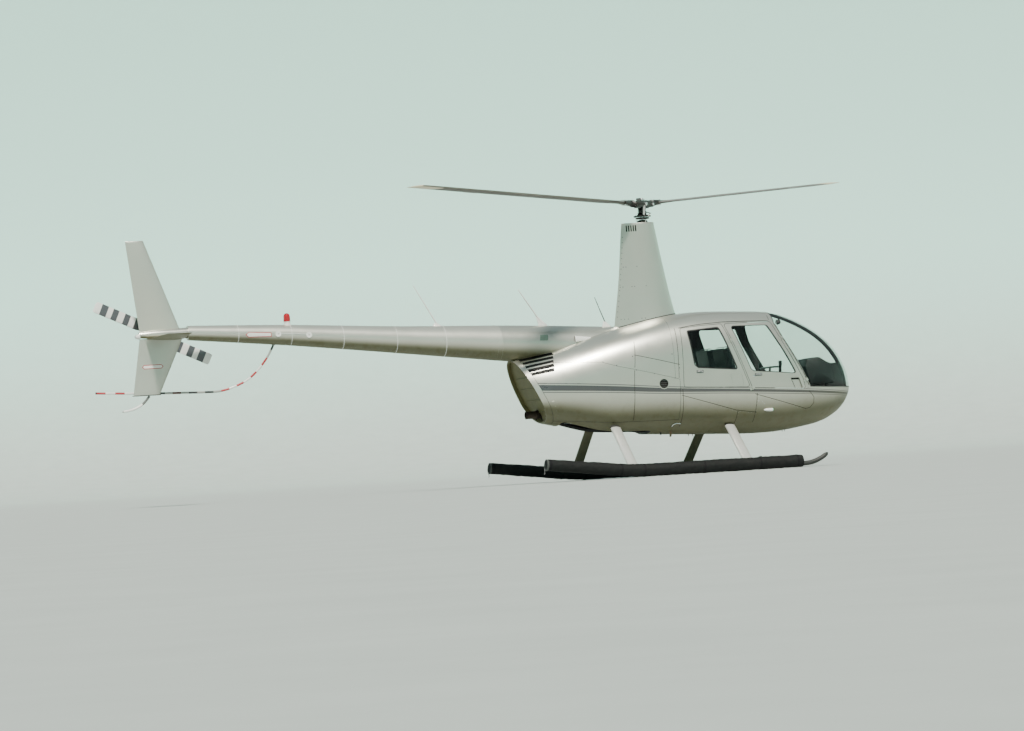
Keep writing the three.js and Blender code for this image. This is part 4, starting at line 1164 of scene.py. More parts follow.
# ------------------------------------------------------------------ rear face, exhaust, openings in the skin
rear_skin = both(boolean(offset(0), offset(4, 1, (1, 1), 40)), whole(REAR_FACE, -SEAM))
put("rear_skin", cleaned(rear_skin), ["silver", "soot_and_shade", "seal"], like=SKIN, replaces=["rear_cowl"])
# the rim in the dark olive of painted shade
rim = rings_mesh([cap_at(5, -30), cap_at(4.5, -2), cap_at(8, 1.2), cap_at(19, 1.6), cap_at(23, -1.5), cap_at(25, -12), cap_at(26, -44), cap_at(12, -46)], closed=True)
put("rear_rim", rim, "recess", angle=50)
pipe_at = (60, 795)
back = rings_mesh([cap_at(27, -52), cap_at(27, -40)])
back = boolean(back, rod((-1200, 60, 795), (-1700, 60, 795), 62, sides=32))
parts = [back]
for t in (-0.62, -0.2, 0.22, 0.6):  # stiffening ribs across the recessed face
    a = cap_mid + plane_n * -38 + plane_v * t * 360 + plane_u * -250
    b = cap_mid + plane_n * -38 + plane_v * t * 360 + plane_u * 250
    parts.append(boolean(rod(a, b, 7, sides=8), rod((-1100, 60, 795), (-1700, 60, 795), 66, sides=20)))
parts = [parts[0]] + [both(p, offset(34, 0, (2, 2), 60)) for p in parts[1:]]
# the recessed face in the dark olive of painted shade
put("rear_face", merged(parts), "recess")
spots = []
for i in range(0, AROUND, 7):
    p = cap_at(13.5, 1.6)[i]
    spots.append((p, plane_n))
put("rear_rim_screws", domes(spots, 5.0, 2.2), "steel")
pipe = boolean(turned((-1080, 60, 795), (-1, 0, 0), [(0, 44), (330, 44), (338, 47), (350, 47), (356, 44.5), (470, 44.5), (483, 45.8), (486, 45)], 32, hint=(0, 0, 1)), rod((-1300, 60, 795), (-1700, 60, 795), 40, sides=32))
clamp = turned((-1432, 60, 795), (-1, 0, 0), [(0, 44), (0, 50), (16, 50), (16, 44)], 32)
bolt = block((-1440, 60, 741), (14, 26, 12))
put("exhaust_pipe", merged([pipe, clamp, bolt]), "exhaust", replaces=["tailpipe"])

for side_name, s in SIDES:
    louvre_back, slats = [], []
    for (ax, az), (bx, bz) in LOUVRES:
        shape = [(ax + 10, az + 22), (bx - 6, bz + 20), (bx - 2, bz - 20), (ax + 6, az - 22)]
        # a black plate behind each slot: painted shade of the bay inside
        louvre_back.append(patch(20, 23, shape, s))
        mid = [((ax * (1 - t) + bx * t), (az * (1 - t) + bz * t)) for t in (0.0, 1.0)]
        for dz in (-4.5, 5.5):
            slats.append(patch(5, 15, ribbon([(mid[0][0], mid[0][1] + dz), (mid[1][0], mid[1][1] + dz)], 2.4), s))
    put(f"louvre_backs_{side_name}", merged(louvre_back), "bay")
    put(f"louvre_slats_{side_name}", merged(slats), "grille")
    ix, iz = INLET
    ring = lambda r: [(ix + r * math.cos(t), iz + r * math.sin(t)) for t in np.linspace(0, 2 * np.pi, 40, endpoint=False)]
    lip = patch_ring(-2.6, 4.0, ring(54), s, 9, 0)
    fins_ = [both(layer(6, 13, ix - 70, ix + 70), side(ring(54), s), side([(ix - 60, iz + d + 1.2), (ix + 60, iz + d + 1.2), (ix + 60, iz + d - 1.2), (ix - 60, iz + d - 1.2)], s)) for d in (-36, -12, 12, 36)]
    # a black disc behind the fins: painted shade inside the inlet
    backing = patch(22, 24, ring(60), s)
    put(f"inlet_lip_{side_name}", cleaned(lip), "silver")
    put(f"inlet_fins_{side_name}", merged(fins_), "steel")
    put(f"inlet_backing_{side_name}", backing, "bay")
    # the lip round the door vent; the vent's floor and its painted shadow strips are cut into the door above
    door_f, door_r = f"front_door_{side_name}_body", f"rear_door_{side_name}_body"
    vent_lip = both(patch_ring(-1.2, 3.0, VENT, s, 3.5, -2.5), side(FRONT_DOOR_R, s, -7.0))
    put(f"vent_lip_{side_name}", cleaned(vent_lip), "silver", door_f)
    # handles, locks and fasteners of the doors
    for name, x, z, body, long in (("rear_handle", 365, 1181, door_r, 62), ("front_handle", 1088, 1111, door_f, 66)):
        p, m = skin_frame(x, z, s)
        plate = block(p + m[:, 2] * 0.6, (long + 26, 34, 3.0), m, 1.2)
        lever = along([p + m @ np.array(q, float) for q in ((-long / 2, 2, 2), (-long / 2 + 6, 3, 12), (0, 4, 15), (long / 2 - 8, 3, 13.5), (long / 2, 1, 9))], [6, 7, 7, 8, 6.5], 10)
        put(f"{name}_plate_{side_name}", plate, "steel", body)
        put(f"{name}_lever_{side_name}", lever, "bright", body)
        heads = [(p + m @ np.array((dx, dy, 2.1)), m[:, 2]) for dx in (-long / 2 - 6, long / 2 + 6) for dy in (-10, 10)]
        put(f"{name}_screws_{side_name}", domes(heads, 3.2, 1.2), "steel", body)
    p, m = skin_frame(1031, 1094, s)
    put(f"door_lock_{side_name}", merged([turned(p - m[:, 2], m[:, 2], [(0, 12), (3, 12), (4.2, 9), (4.3, 2)], 20), block(p + m[:, 2] * 4.4, (2.2, 10, 1.2), m, 0.4)]), "bright", door_f)
    # hinges: one knuckle and leaf on the door, two knuckles and leaf on the body
    for which, outline, low, high in HINGES:
        a, b = np.array((low[0], s * low[1], low[2]), float), np.array((high[0], s * high[1], high[2]), float)
        u = (b - a) / np.linalg.norm(b - a)
        for tag, c in (("low", a), ("high", b)):
            hit, n = on_side(c[0], c[2], s)
            fwd = np.cross(u, n) * s
            fwd = fwd if fwd[0] > 0 else -fwd
            rot = np.stack([fwd, u, np.cross(fwd, u)], 1)
            c2 = c
            door_leaf = block(c2 - fwd * 17 - n * 4, (30, 34, 3), rot, 1.0)
            body_leaf = block(c2 + fwd * 17 - n * 4, (30, 34, 3), rot, 1.0)
            put(f"hinge_{which}_{tag}_door_{side_name}", merged([rod(c2 - u * 9.5, c2 + u * 9.5, 6.5, sides=14, bevel=0.8), door_leaf]), "silver", f"{which}_door_{side_name}_body")
            put(f"hinge_{which}_{tag}_body_{side_name}", merged([rod(c2 - u * 22, c2 - u * 10.5, 6.5, sides=14, bevel=0.8), rod(c2 + u * 10.5, c2 + u * 22, 6.5, sides=14, bevel=0.8), body_leaf]), "silver")
    # the side light and what hangs below the belly
    p, m = skin_frame(1209, 697, s)
    light = along([p + m @ np.array(q, float) for q in ((-58, -2, -6), (-46, -1, 4), (-22, 0, 9), (14, 0, 12), (36, 0, 13), (46, 0, 12))], [3, 12, 17, 19, 19, 18.5], 18)
    put(f"side_light_base_{side_name}", light, "white")
    q = p + m @ np.array((46, 0, 12.0))
    put(f"side_light_lens_{side_name}", turned(q, m[:, 0], [(0, 17.5), (8, 17), (15, 13), (19, 6), (20, 1)], 18), "green" if s < 0 else "redlens")
    screws = []
    for x, z in ((1102, 837), (1128, 790), (1154, 766), (1077, 803)):
        screws.append(on_side(x, z, s))
    put(f"lower_screws_{side_name}", domes(screws, 5.0, 1.8), "bright")

tubes = [along(smooth_path([(46, -398, 575), (49, -420, 566), (60, -452, 583), (92, -459, 596), (150, -458, 592)], 26), 6.5, 10)]
put("overflow_tube", merged(tubes), "bright")
put("belly_stub", merged([turned((-13, -214, 521), (0, 0, -1), [(0, 16), (4, 16), (6, 10), (42, 9), (46, 7)], 16)]), "black")
blade_aerial = rings_mesh([[(x, -294 + y * w, z) for x, y in ((97, 0), (90, 1), (78, 1), (66, 0.25), (66, -0.25), (78, -1), (90, -1))] for z, w in ((520, 9), (500, 8), (486, 8))] + [[(60 + (x - 66) * 0.75 + 4, -294 + y * 6, 446) for x, y in ((97, 0), (90, 1), (78, 1), (66, 0.25), (66, -0.25), (78, -1), (90, -1))]])
put("belly_blade_antenna", blade_aerial, "antenna")
drains = []
for x, y in ((1526, -150), (1566, -127), (1526, 150), (430, 60), (480, 60)):
    p, n = on_belly(x, y)
    drains.append(turned(p - n * 2, n, [(0, 7), (3, 7), (4, 4.5), (20, 4.5), (22, 3)], 12))
put("belly_drains", merged(drains), "steel")
# a landing lamp in the nose belly, behind a clear round cover
p, n = on_belly(2120, 0)
put("landing_lamp_bezel", boolean(turned(p - n * 7, n, [(0, 60), (7.5, 60), (9.5, 56), (9.5, 2)], 40), turned(p - n * 20, n, [(0, 50), (60, 50)], 40)), "black")
put("landing_lamp", turned(p - n * 5.5, n, [(0, 51), (4.5, 51), (6.5, 36), (7.5, 18), (8, 2)], 40), "lens")

# the engine, seen through the outlet in the belly
eng = [block((-650, 0, 930), (640, 230, 250), None, 30), block((-650, 0, 780), (520, 200, 90), None, 24), turned((-330, 0, 930), (1, 0, 0), [(0, 90), (12, 95), (30, 95), (44, 60)], 32)]
put("engine_case", merged(eng), "cast", replaces=["engine_block"])
cyl, pushrods = [], []
for s in (1, -1):
    for x in (-860, -640, -440):
        prof = [(0, 62)]
        for i in range(13):
            prof += [(8 + i * 10, 62), (8 + i * 10, 74), (11.5 + i * 10, 74), (11.5 + i * 10, 62)]
        prof += [(142, 62), (142, 72), (172, 66), (176, 40)]
        cyl.append(turned((x, s * 100, 925), (0, s, 0), prof, 28))
        for dx in (-26, 26):
            pushrods.append(rod((x + dx, s * 100, 838), (x + dx, s * 240, 862), 7, sides=8))
        pushrods.append(along(smooth_path([(x, s * 235, 868), (x - 6, s * 240, 800), (x - 30, s * 190, 752), (x - 90, s * 130, 742)], 14), 20, 12))
put("engine_cylinders", merged(cyl), "cast")
put("engine_pipes", merged(pushrods + [along(smooth_path([(-380, 130, 742), (-700, 128, 740), (-960, 110, 752), (-1085, 60, 795)], 30), 30, 14), along(smooth_path([(-380, -130, 742), (-760, -128, 740), (-980, -60, 752), (-1085, 50, 790)], 30), 30, 14)]), "exhaust")
shroud = boolean(both(offset(60, 0, (2, 2)), slab(-1190, -180, -500, 500, 690, 1180)), both(offset(66, 0, (2, 2)), slab(-1300, -100, -600, 600, 500, 1172)))
put("engine_bay_lining", cleaned(shroud), "bay")
frame_tubes = []
for s in (1, -1):
    frame_tubes += [rod((-190, s * 280, 600), (-1150, s * 250, 720), 12, sides=10), rod((-400, s * 270, 640), (-700, s * 260, 900), 11, sides=10), rod((-1150, s * 250, 720), (-760, s * 260, 960), 11, sides=10)]
frame_tubes += [rod((-560, -275, 650), (-560, 275, 650), 11, sides=10), rod((-900, -262, 690), (-900, 262, 690), 11, sides=10)]
put("bay_frame", merged(frame_tubes), "black")

# ------------------------------------------------------------------ tailcone and spine fairing
CONE = np.array([[-420, 1533, 236], [-1280, 1603, 222], [-1870, 1651, 205], [-3055, 1748, 157], [-4358, 1866, 119], [-5560, 1950, 83]], float)


def cone_at(x):
    """Centre height and radius of the cone at stations x."""
    q = np.atleast_1d(np.asarray(x, float))
    rows = spline(-CONE[:, 0], CONE[:, 1:], -q)
    lin = np.stack([np.interp(-q, -CONE[:, 0], CONE[:, 1]), np.interp(-q, -CONE[:, 0], CONE[:, 2])], 1)
    return 0.5 * rows + 0.5 * lin


def cone_point(x, a, h=0.0):
    """A point on the cone at station x and angle a from its top, positive to port, h above it."""
    z, r = cone_at(x)[0]
    return np.array([x, (r + h) * math.sin(a), z + (r + h) * math.cos(a)])


def cone_mesh(stations, around=96, k=0, cut_ends=True):
    """A round body along the cone through (x, extra radius) rows."""
    a = np.linspace(0, 2 * np.pi, around, endpoint=False)
    st = np.array(stations, float)
    zr = cone_at(st[:, 0])
    rings = [np.stack([np.full(around, x), (r + e) * np.sin(a), z + (r + e) * np.cos(a)], 1) for (x, e), (z, r) in zip(st, zr)]
    return rings_mesh(rings, k)


BANDS = [-1908, -2540, -3120, -3750, -4360, -4980]
st = [(-1870.5, 0.0)]
for b in BANDS:
    st += [(b + 15.5, 0.0), (b + 15, 1.1), (b - 15, 1.1), (b - 15.5, 0.0)]
st += [(-5558, 0.0)]
full = []
for (a, ea), (b, eb) in zip(st[:-1], st[1:]):
    n = max(1, int(abs(b - a) / 110))
    full += [(a + (b - a) * i / n, ea + (eb - ea) * i / n) for i in range(n)]
full.append(st[-1])
cone_body = boolean(cone_mesh(full, 112), offset(-1.0, 0))
cone_body = boolean(cone_body, cone_mesh([(x, -5) for x in np.linspace(-1700, -5540, 40)], 112))
put("cone_skin", cleaned(cone_body), "tail", replaces=["tailcone"], angle=25)
edges = [boolean(cone_mesh([(b + 2.6, 1.6), (b - 2.6, 1.6)], 112), cone_mesh([(b + 7, -0.6), (b - 7, -0.6)], 112)) for b in BANDS[1:]]
put("cone_seam_lines", merged(edges), "white", angle=25)
spots = []
for b in BANDS[1:]:
    r = cone_at(b)[0][1]
    n = int(2 * math.pi * r / 26)
    for dx in (-8.5, 8.5):
        for i in range(n):
            a = 2 * math.pi * (i + (0.5 if dx > 0 else 0)) / n
            spots.append((cone_point(b + dx, a, 1.0), (0.03, math.sin(a), math.cos(a))))
for a in (2.55, -2.55):
    for x in np.arange(-1950, -5480, -46):
        if min(abs(x - b) for b in BANDS) > 24:
            spots.append((cone_point(x, a), (0.03, math.sin(a), math.cos(a))))
put("cone_rivets", domes(spots, 2.6, 0.9, sides=5), "tail")

FAIRING = np.array([[1700, 382, -440, 170], [1900, 327, -408, 142], [2150, 272, -366, 120], [2500, 208, -320, 104], [2850, 150, -282, 93], [2972, 130, -268, 88]], float)
WIDTH_U = np.array([0, 0.2, 0.374, 0.566, 0.775, 0.92, 1.0])
WIDTH_W = np.array([0.0, 0.5, 0.86, 1.0, 0.74, 0.3, 0.02])


def fairing_ring(z, inset=0.0, n=36):
    xf, xr, hw = spline(FAIRING[:, 0], FAIRING[:, 1:], np.array([float(z)]))[0]
    u = np.linspace(0, 1, n)
    w = spline(WIDTH_U, WIDTH_W[:, None], u)[:, 0].clip(0, None)
    w[1:-1] = np.maximum(w[1:-1], 0.01)
    x = xf - u**2 * (xf - xr)
    ring = [(x[i], w[i] * hw, z) for i in range(n)] + [(x[i], -w[i] * hw, z) for i in range(n - 2, 0, -1)]
    r = np.array(ring)
    if inset:
        c = r.mean(0)
        d = r - c
        r = c + d * np.maximum(0.02, 1 - inset / np.maximum(np.linalg.norm(d[:, :2], axis=1), 1))[:, None]
    return r


mast_rings = [fairing_ring(z) for z in np.linspace(1690, 2964, 40)] + [fairing_ring(2970, 2.0), fairing_ring(2972, 6.0)]
mast_solid = rings_mesh(mast_rings)
fairing_mesh = boolean(boolean(mast_solid, offset(-1.6, 0)), rod((0, 0, 2890), (0, 0, 3100), 52, sides=40))
# six slots in the fairing, their walls and floors black: painted shade inside them
slots = []
for i in range(6):
    x = -114 - i * 25
    for s in (1, -1):
        slots.append(prism_y([(x - 7.0, 2872), (x + 7.0, 2872), (x + 6.0, 2944), (x - 8.0, 2944)], s * 20 if s > 0 else -200, 200 if s > 0 else -20, k=1))
for c in slots:
    fairing_mesh = boolean(fairing_mesh, c)
put("mast_cover", cleaned(fairing_mesh), ["silver", "bay", "seal"], replaces=["mast_fairing"], angle=28)
MASTS = Surface(np.array(mast_rings[:40]).reshape(-1, 3), [(i * 70 + j, i * 70 + (j + 1) % 70, (i + 1) * 70 + (j + 1) % 70, (i + 1) * 70 + j) for i in range(39) for j in range(70)])
spots = []
for s in (1, -1):
    def on_mast(x, z):
        return MASTS.ray((x, s * 600, z), (0, -s, 0))
    for z in np.arange(1880, 2870, 62):
        xr = np.interp(z, FAIRING[:, 0], FAIRING[:, 2])
        spots.append(on_mast(xr + 22, z))
    for z, xs in ((2228, (-330, -300, -200, -170, -40)), (1850, (-350, -310, -270, -120, -80, 40)), (2460, (-280, -250, -130))):
        for x in xs:
            spots.append(on_mast(x, z))
put("mast_cover_screws", domes([h for h in spots if h is not None], 6.2, 2.0), "steel")
lid = rings_mesh([fairing_ring(2955, 14), fairing_ring(2966, 14)])
put("mast_cover_top", boolean(lid, rod((0, 0, 2890), (0, 0, 3100), 50, sides=40)), "bay")
base = boolean(both(layer(-9, 1, -460, 400), rings_mesh([fairing_ring(z, -2.0) for z in np.linspace(1690, 2100, 8)])), rings_mesh([fairing_ring(z, 8.0) for z in np.linspace(1680, 2150, 8)]))
put("mast_cover_base_seal", cleaned(base), "seal")

spine = cone_mesh([(x, 0.0) for x in np.linspace(-405, -1869.5, 34)], 112)
spine = boolean(boolean(spine, offset(-1.2, 0)), rings_mesh([fairing_ring(z, -3.0) for z in np.linspace(1600, 2200, 12)]))
put("spine_cover", cleaned(spine), "silver", replaces=["spine_fairing"], angle=28)
spots = []
for s in (1, -1):
    for x in np.arange(-520, -1840, -52):
        spots.append((cone_point(x, s * 1.30), (0, s * math.sin(1.30), math.cos(1.30))))
    for a in np.arange(0.15, 1.25, 0.13):
        spots.append((cone_point(-1848, s * a), (0, s * math.sin(a), math.cos(a))))
put("spine_rivets", domes(spots, 3.0, 1.0, sides=6), "silver")


def cone_patch(outline, s, out=0.8, depth=1.5):
    """A thin plate that lies on the cone within an (x, z) outline."""
    x0, x1 = min(p[0] for p in outline) - 30, max(p[0] for p in outline) + 30
    band = boolean(cone_mesh([(x, out) for x in np.linspace(x1, x0, 5)], 112), cone_mesh([(x, -depth) for x in np.linspace(x1 + 5, x0 - 5, 5)], 112))
    return both(band, side(outline, s) if s else prism_y(outline, -HUGE, HUGE))


put("spine_plate", cone_patch([[-1413, 1715], [-1315, 1713], [-1327, 1646], [-1424, 1649]], -1, 1.0), "olive")
outline = [[-1300, 1757], [-1262, 1750], [-1258, 1694], [-1294, 1698]]
put("spine_plate_small", boolean(cone_patch(outline, -1, 1.2), side(outline, -1, -2.5)), "silver")
put("round_covers", merged([merged([turned(cone_point(x, s * 1.52, -2), (0, s * math.sin(1.52), math.cos(1.52)), [(0, 34), (4.5, 34), (6, 32), (6.4, 20), (5.5, 18), (5.4, 2)], 36)]) for x in (-4521, -4161) for s in (1, -1)]), "white")
put("cover_slots", merged([block(cone_point(x, s * 1.52, 4.0), (20, 5, 4), None, 1.0) for x in (-4521, -4161) for s in (1, -1)]), "black")
put("cover_wires", merged([along([cone_point(x, s * 1.47, 2.0) for x in np.linspace(-4490, -4192, 12)], 3.0, 8) for s in (1, -1)]), "white")
cone_sign = [[-4905, 1892], [-4868, 1924], [-4600, 1905], [-4600, 1856], [-4868, 1862]]
for side_name, s in SIDES:
    put(f"blank_sign_edge_tailcone_{side_name}", cone_patch(cone_sign, s, 0.7), "red")
    put(f"blank_sign_tailcone_{side_name}", cone_patch(grow(cone_sign, -8), s, 1.1), "white")
# the scoop on the spine, open to the rear
for s in (-1,):
    rows = []
    for t in np.linspace(0, 1, 9):
        x = -800 - 200 * t
        a0, a1 = 1.14 - 0.02 * t, 1.14 + 0.12 + 0.19 * t
        h = 1 + 25 * (t**1.3)
        top = [cone_point(x, s * (a0 + (a1 - a0) * q), h * (math.sin(math.pi * min(max(q, 0.02), 0.98)) ** 0.35)) for q in np.linspace(0, 1, 13)]
        low = [cone_point(x, s * (a0 + (a1 - a0) * q), -3) for q in np.linspace(1, 0, 13)]
        rows.append(top + low)
    scoop = rings_mesh(rows)
    # its rear end is a closed face painted black: painted shade standing in for the open mouth
    cap_faces(scoop, 9, 26, 1, 1)
    put("spine_scoop", scoop, ["white", "bay"], angle=40)

# antennas, beacon, tail light
for name, a, b, r, mat, base_mat, slot_name in (
    ("rear", (-2585, 0, 1893), (-2852, 0, 2366), 8.5, "white", "white", "antenna_white"), ("middle", (-1300, 0, 1822), (-1584, 0, 2260), 11.0, "white", "white", "antenna_white"), ("front", (-520, 0, 1772), (-653, 0, 2127), 6.5, "black", "white", "antenna_dark"),
):
    a, b = np.array(a, float), np.array(b, float)
    d = (b - a) / np.linalg.norm(b - a)
    z, rr = cone_at(a[0])[0]
    foot = np.array([a[0], 0, z + rr])
    whip = along([a - d * 4, a + d * 40, (a + b) / 2, b - d * 8, b], [r * 1.15, r, r * 0.8, r * 0.55, r * 0.3], 14)
    if name == "middle":
        whip = along([a - d * 10, a + d * 30, (a + b) / 2, b - d * 10, b], [13, 15, 14, 9.5, 3], 20, shape=[(math.cos(t) * 0.55, math.sin(t)) for t in np.linspace(0, 2 * np.pi, 20, endpoint=False)])
    put(f"{name}_whip", whip, mat, replaces=[f"{name}_antenna"])
    tall = {"rear": 1.0, "middle": 2.9, "front": 1.7}[name]
    lean = (b - a)[0] / (b - a)[2]
    shoe = rings_mesh([[(foot[0] - 8 + u * 56 * w + lean * max(0.0, h * tall - 6), v * 17 * w, foot[2] + (h if h < 0 else h * tall)) for u, v in [(math.cos(t), math.sin(t)) for t in np.linspace(0, 2 * np.pi, 28, endpoint=False)]] for h, w in ((-10, 1.0), (2, 1.0), (6, 0.90), (20, 0.56), (34, 0.36), (38, 0.26))])
    put(f"{name}_antenna_base", shoe, base_mat)
zb = sum(cone_at(-4380)[0])
put("beacon_base", turned((-4380, 0, zb - 8), (0, 0, 1), [(0, 40), (14, 40), (18, 36), (34, 34), (38, 38), (44, 38), (46, 34)], 36), "white")
put("beacon_lens", turned((-4380, 0, zb + 36), (0, 0, 1), [(0, 37), (6, 40), (60, 38.5), (78, 34), (90, 24), (96, 12), (98, 1)], 36), "beacon", replaces=["beacon"])


# ------------------------------------------------------------------ fins and stabilizer
def foil(n=22):
    """A thin symmetrical airfoil: (distance behind the nose, half thickness), both for a chord and thickness of 1."""
    t = (1 - np.cos(np.linspace(0, np.pi, n))) / 2
    h = 5 * (0.2969 * np.sqrt(t) - 0.1260 * t - 0.3516 * t**2 + 0.2843 * t**3 - 0.1015 * t**4)
    return t, h * 0.5 / h.max()


FT, FH = foil()


def wing(rows, upright=True):
    """rows: nose x, rear x, thickness, station, offset. Upright fins have their stations up, others sideways."""
    rings = []
    for xl, xt, t, q, o in rows:
        c = xl - xt
        up = [(xl - FT[i] * c, FH[i] * t) for i in range(len(FT))] + [(xl - FT[i] * c, -FH[i] * t) for i in range(len(FT) - 2, 0, -1)]
        rings.append([(x, o + h, q) if upright else (x, q, o + h) for x, h in up])
    return rings_mesh(rings)


def tipped(rows, by, steps=5):
    """Adds a rounded tip to the last row, over a distance by."""
    xl, xt, t, q, o = rows[-1]
    out = list(rows)
    sign = 1 if q > rows[0][3] else -1
    out[-1] = (xl, xt, t, q - sign * by, o)
    for i in range(1, steps + 1):
        a = i / steps * math.pi / 2
        out.append((xl - (1 - math.cos(a)) * by * 0.9, xt + (1 - math.cos(a)) * by * 0.5, max(t * math.cos(a), 1.0), q - sign * by * (1 - math.sin(a)), o))
    return out


fin_u = wing(tipped([(-5640, -6112, 46, 1990, 0), (-5800, -6160, 44, 2440, 0), (-6006, -6218, 38, 3020, 0)], 12))
put("fin_upper", fin_u, "tail", replaces=["upper_fin"], angle=40)
fin_l = wing([(-5612, -6116, 46, 1905, 0), (-5917, -6224, 38, 1270, 0)])
put("fin_lower", fin_l, "tail", replaces=["lower_fin"], angle=40)
edge = [(-5905, 0.0), (-5930, 22), (-6010, 34), (-6140, 30), (-6236, 8)]
plate_pts = [(x, y) for x, y in edge] + [(x, -y) for x, y in edge[::-1] if y > 0]
# the plate at the foot of the lower fin is black: painted shade of its underside
put("fin_end_plate", rings_mesh([[(x, y, z) for x, y in plate_pts] for z in (1263, 1271)]), "bay")
stab = wing([(-5585, -6050, 44, -30, 1902), (-5620, -6046, 42, -240, 1906), (-5752, -6031, 35, -1000, 1921), (-5766, -6029, 30, -1014, 1921.5), (-5790, -6022, 18, -1024, 1922), (-5810, -6016, 4, -1030, 1922)], False)
stab = boolean(stab, wing([(-5550, -6200, 40, 1600, 0), (-5550, -6200, 40, 2300, 0)]))
put("stabilizer", cleaned(stab), "tail", replaces=["horizontal_stabilizer"], angle=40)
spots = []
for s in (1, -1):
    for z, a, b in ((2000, -5690, -6090), (2020, -5700, -6092)):
        for x in np.arange(a, b, -34):
            i = (x - (-5645)) / (-6112 + 5645)
            h = np.interp(i, FT, FH) * 46
            spots.append(((x, s * h, z), (0, s, 0)))
    for z in np.arange(2060, 2980, 44):
        f = (z - 1990) / (3020 - 1990)
        xl, xt, t = -5640 - 366 * f, -6112 - 106 * f, 46 - 8 * f
        for frac in (0.28,):
            h = np.interp(frac, FT, FH) * t
            spots.append(((xl - frac * (xl - xt), s * h, z), (0, s, 0)))
    for z in np.arange(1300, 1880, 44):
        f = (1905 - z) / (1905 - 1270)
        xl, xt, t = -5612 - 305 * f, -6116 - 108 * f, 46 - 8 * f
        h = np.interp(0.28, FT, FH) * t
        spots.append(((xl - 0.28 * (xl - xt), s * h, z), (0, s, 0)))
for y in np.arange(-80, -1000, -44):
    f = (-y - 30) / 1000
    xl, xt, t, zc = -5585 - 175 * f, -6050 + 20 * f, 44 - 10 * f, 1902 + 20 * f
    h = np.interp(0.3, FT, FH) * t
    for sg in (1, -1):
        spots.append(((xl - 0.3 * (xl - xt), y, zc + sg * h), (0, 0, sg)))
put("fin_rivets", domes(spots, 2.6, 0.9, sides=5), "tail")
for s in (1, -1):
    f = (1905 - 1588) / 635.0
    xl, xt, t = -5612 - 305 * f, -6116 - 108 * f, 46 - 8 * f

    def fin_patch(outline, out):
        body_ = wing([(-5612 + 1.5, -6116 - 1, 46 + 2 * out, 1905, 0), (-5917 + 1.5, -6224 - 1, 38 + 2 * out, 1270, 0)])
        inner_ = wing([(-5612 + 1, -6116, 46 - 3, 1905, 0), (-5917 + 1, -6224, 38 - 3, 1270, 0)])
        return both(boolean(body_, inner_), prism_y(outline, *((0.5, 200) if s > 0 else (-200, -0.5))))

    o = [[-5860, 1588], [-5885, 1612], [-6085, 1612], [-6108, 1588], [-6085, 1564], [-5885, 1564]]
    put(f"blank_sign_fin_edge_{'left' if s > 0 else 'right'}", fin_patch(o, 0.8), "red")
    put(f"blank_sign_fin_{'left' if s > 0 else 'right'}", fin_patch(grow(o, -8), 1.4), "white")

gear_rows = np.array([[-5500, 62, 62], [-5560, 66, 62], [-5620, 66, 60], [-5800, 62, 58], [-5980, 52, 50], [-6080, 38, 38], [-6120, 30, 34]], float)
st = np.linspace(5500, 6120, 26)
gr = spline(-gear_rows[:, 0], gear_rows[:, 1:], st)
a = np.linspace(0, 2 * np.pi, 48, endpoint=False)
gb = rings_mesh([np.stack([np.full(48, -x), w * np.cos(a), 1952 + h * np.sin(a)], 1) for x, (w, h) in zip(st, gr)])
gb = boolean(gb, cone_mesh([(-5300, 0.4), (-5559, 0.4)], 64))
put("tail_gearbox_cover", cleaned(gb), "silver", replaces=["tail_gearbox"], angle=35)
hub_c = np.array([-5893.0, 272.0, 1976.0])
put("tail_gearbox_output", merged([turned((-5893, 20, 1976), (0, 1, 0), [(0, 56), (52, 56), (56, 60), (66, 60), (70, 54), (92, 50), (120, 44), (146, 42), (150, 38), (155, 34)], 40), domes([((-5893 + 52 * math.cos(t), 86, 1976 + 52 * math.sin(t)), (0, 1, 0)) for t in np.linspace(0, 2 * np.pi, 8, endpoint=False)], 4.5, 4.0)]), "cast")
put("tail_lamp_cone", turned((-6112, 0, 1936), (-1, 0, -0.08), [(0, 30), (14, 31), (30, 28), (42, 22)], 28), "white", replaces=["tail_light"])
put("tail_lamp_lens", turned((-6154, 0, 1932.6), (-1, 0, -0.08), [(0, 21), (6, 20), (12, 14), (15, 6), (15.6, 1)], 28), "lens")

# tail guard, its clamps and the skid below the fin
guard_path = smooth_path([(-4556, 0, 1768), (-4615, 8, 1659), (-4719, 26, 1521), (-4863, 43, 1392), (-5052, 61, 1307), (-5168, 68, 1277), (-5356, 70, 1270), (-5892, 70, 1285), (-6640, 70, 1323)], 110)
run = np.concatenate([[0], np.cumsum(np.linalg.norm(np.diff(guard_path, axis=0), axis=1))]) / 1000
L = float(run[-1])
# painted shade on the guard: the grey from 0.065 m to 0.17 m is shaded steel, and from 0.84 m to 1.58 m the red and
# white bands are painted as they look in the tail's shadow, white as grey, red as black and dark red
GUARD_SHADE_GREY = (0.34, 0.345, 0.32)
BLACK_AND_SHADED_RED = (0.03, 0.03, 0.033)
M["guard"] = banded("guard_paint", "span", (WHITE, [(0, 0.065, BLACK_AND_SHADED_RED), (0.065, 0.17, GUARD_SHADE_GREY), (0.17, 0.27, RED), (0.37, 0.46, RED), (0.56, 0.65, RED), (0.74, 0.84, RED), (0.84, 1.52, GUARD_SHADE_GREY), (0.93, 1.03, BLACK_AND_SHADED_RED), (1.12, 1.22, BLACK_AND_SHADED_RED), (1.31, 1.41, (0.10, 0.02, 0.02)), (1.50, 1.58, BLACK_AND_SHADED_RED), (L - 0.55, L - 0.44, RED), (L - 0.33, L - 0.22, RED), (L - 0.11, L + 0.01, RED)]))
g_rings = along(guard_path, 12.5, 14, raw_rings=True)
guard = rings_mesh(g_rings)
att = np.concatenate([np.repeat(run, 14), [0.0, L]])
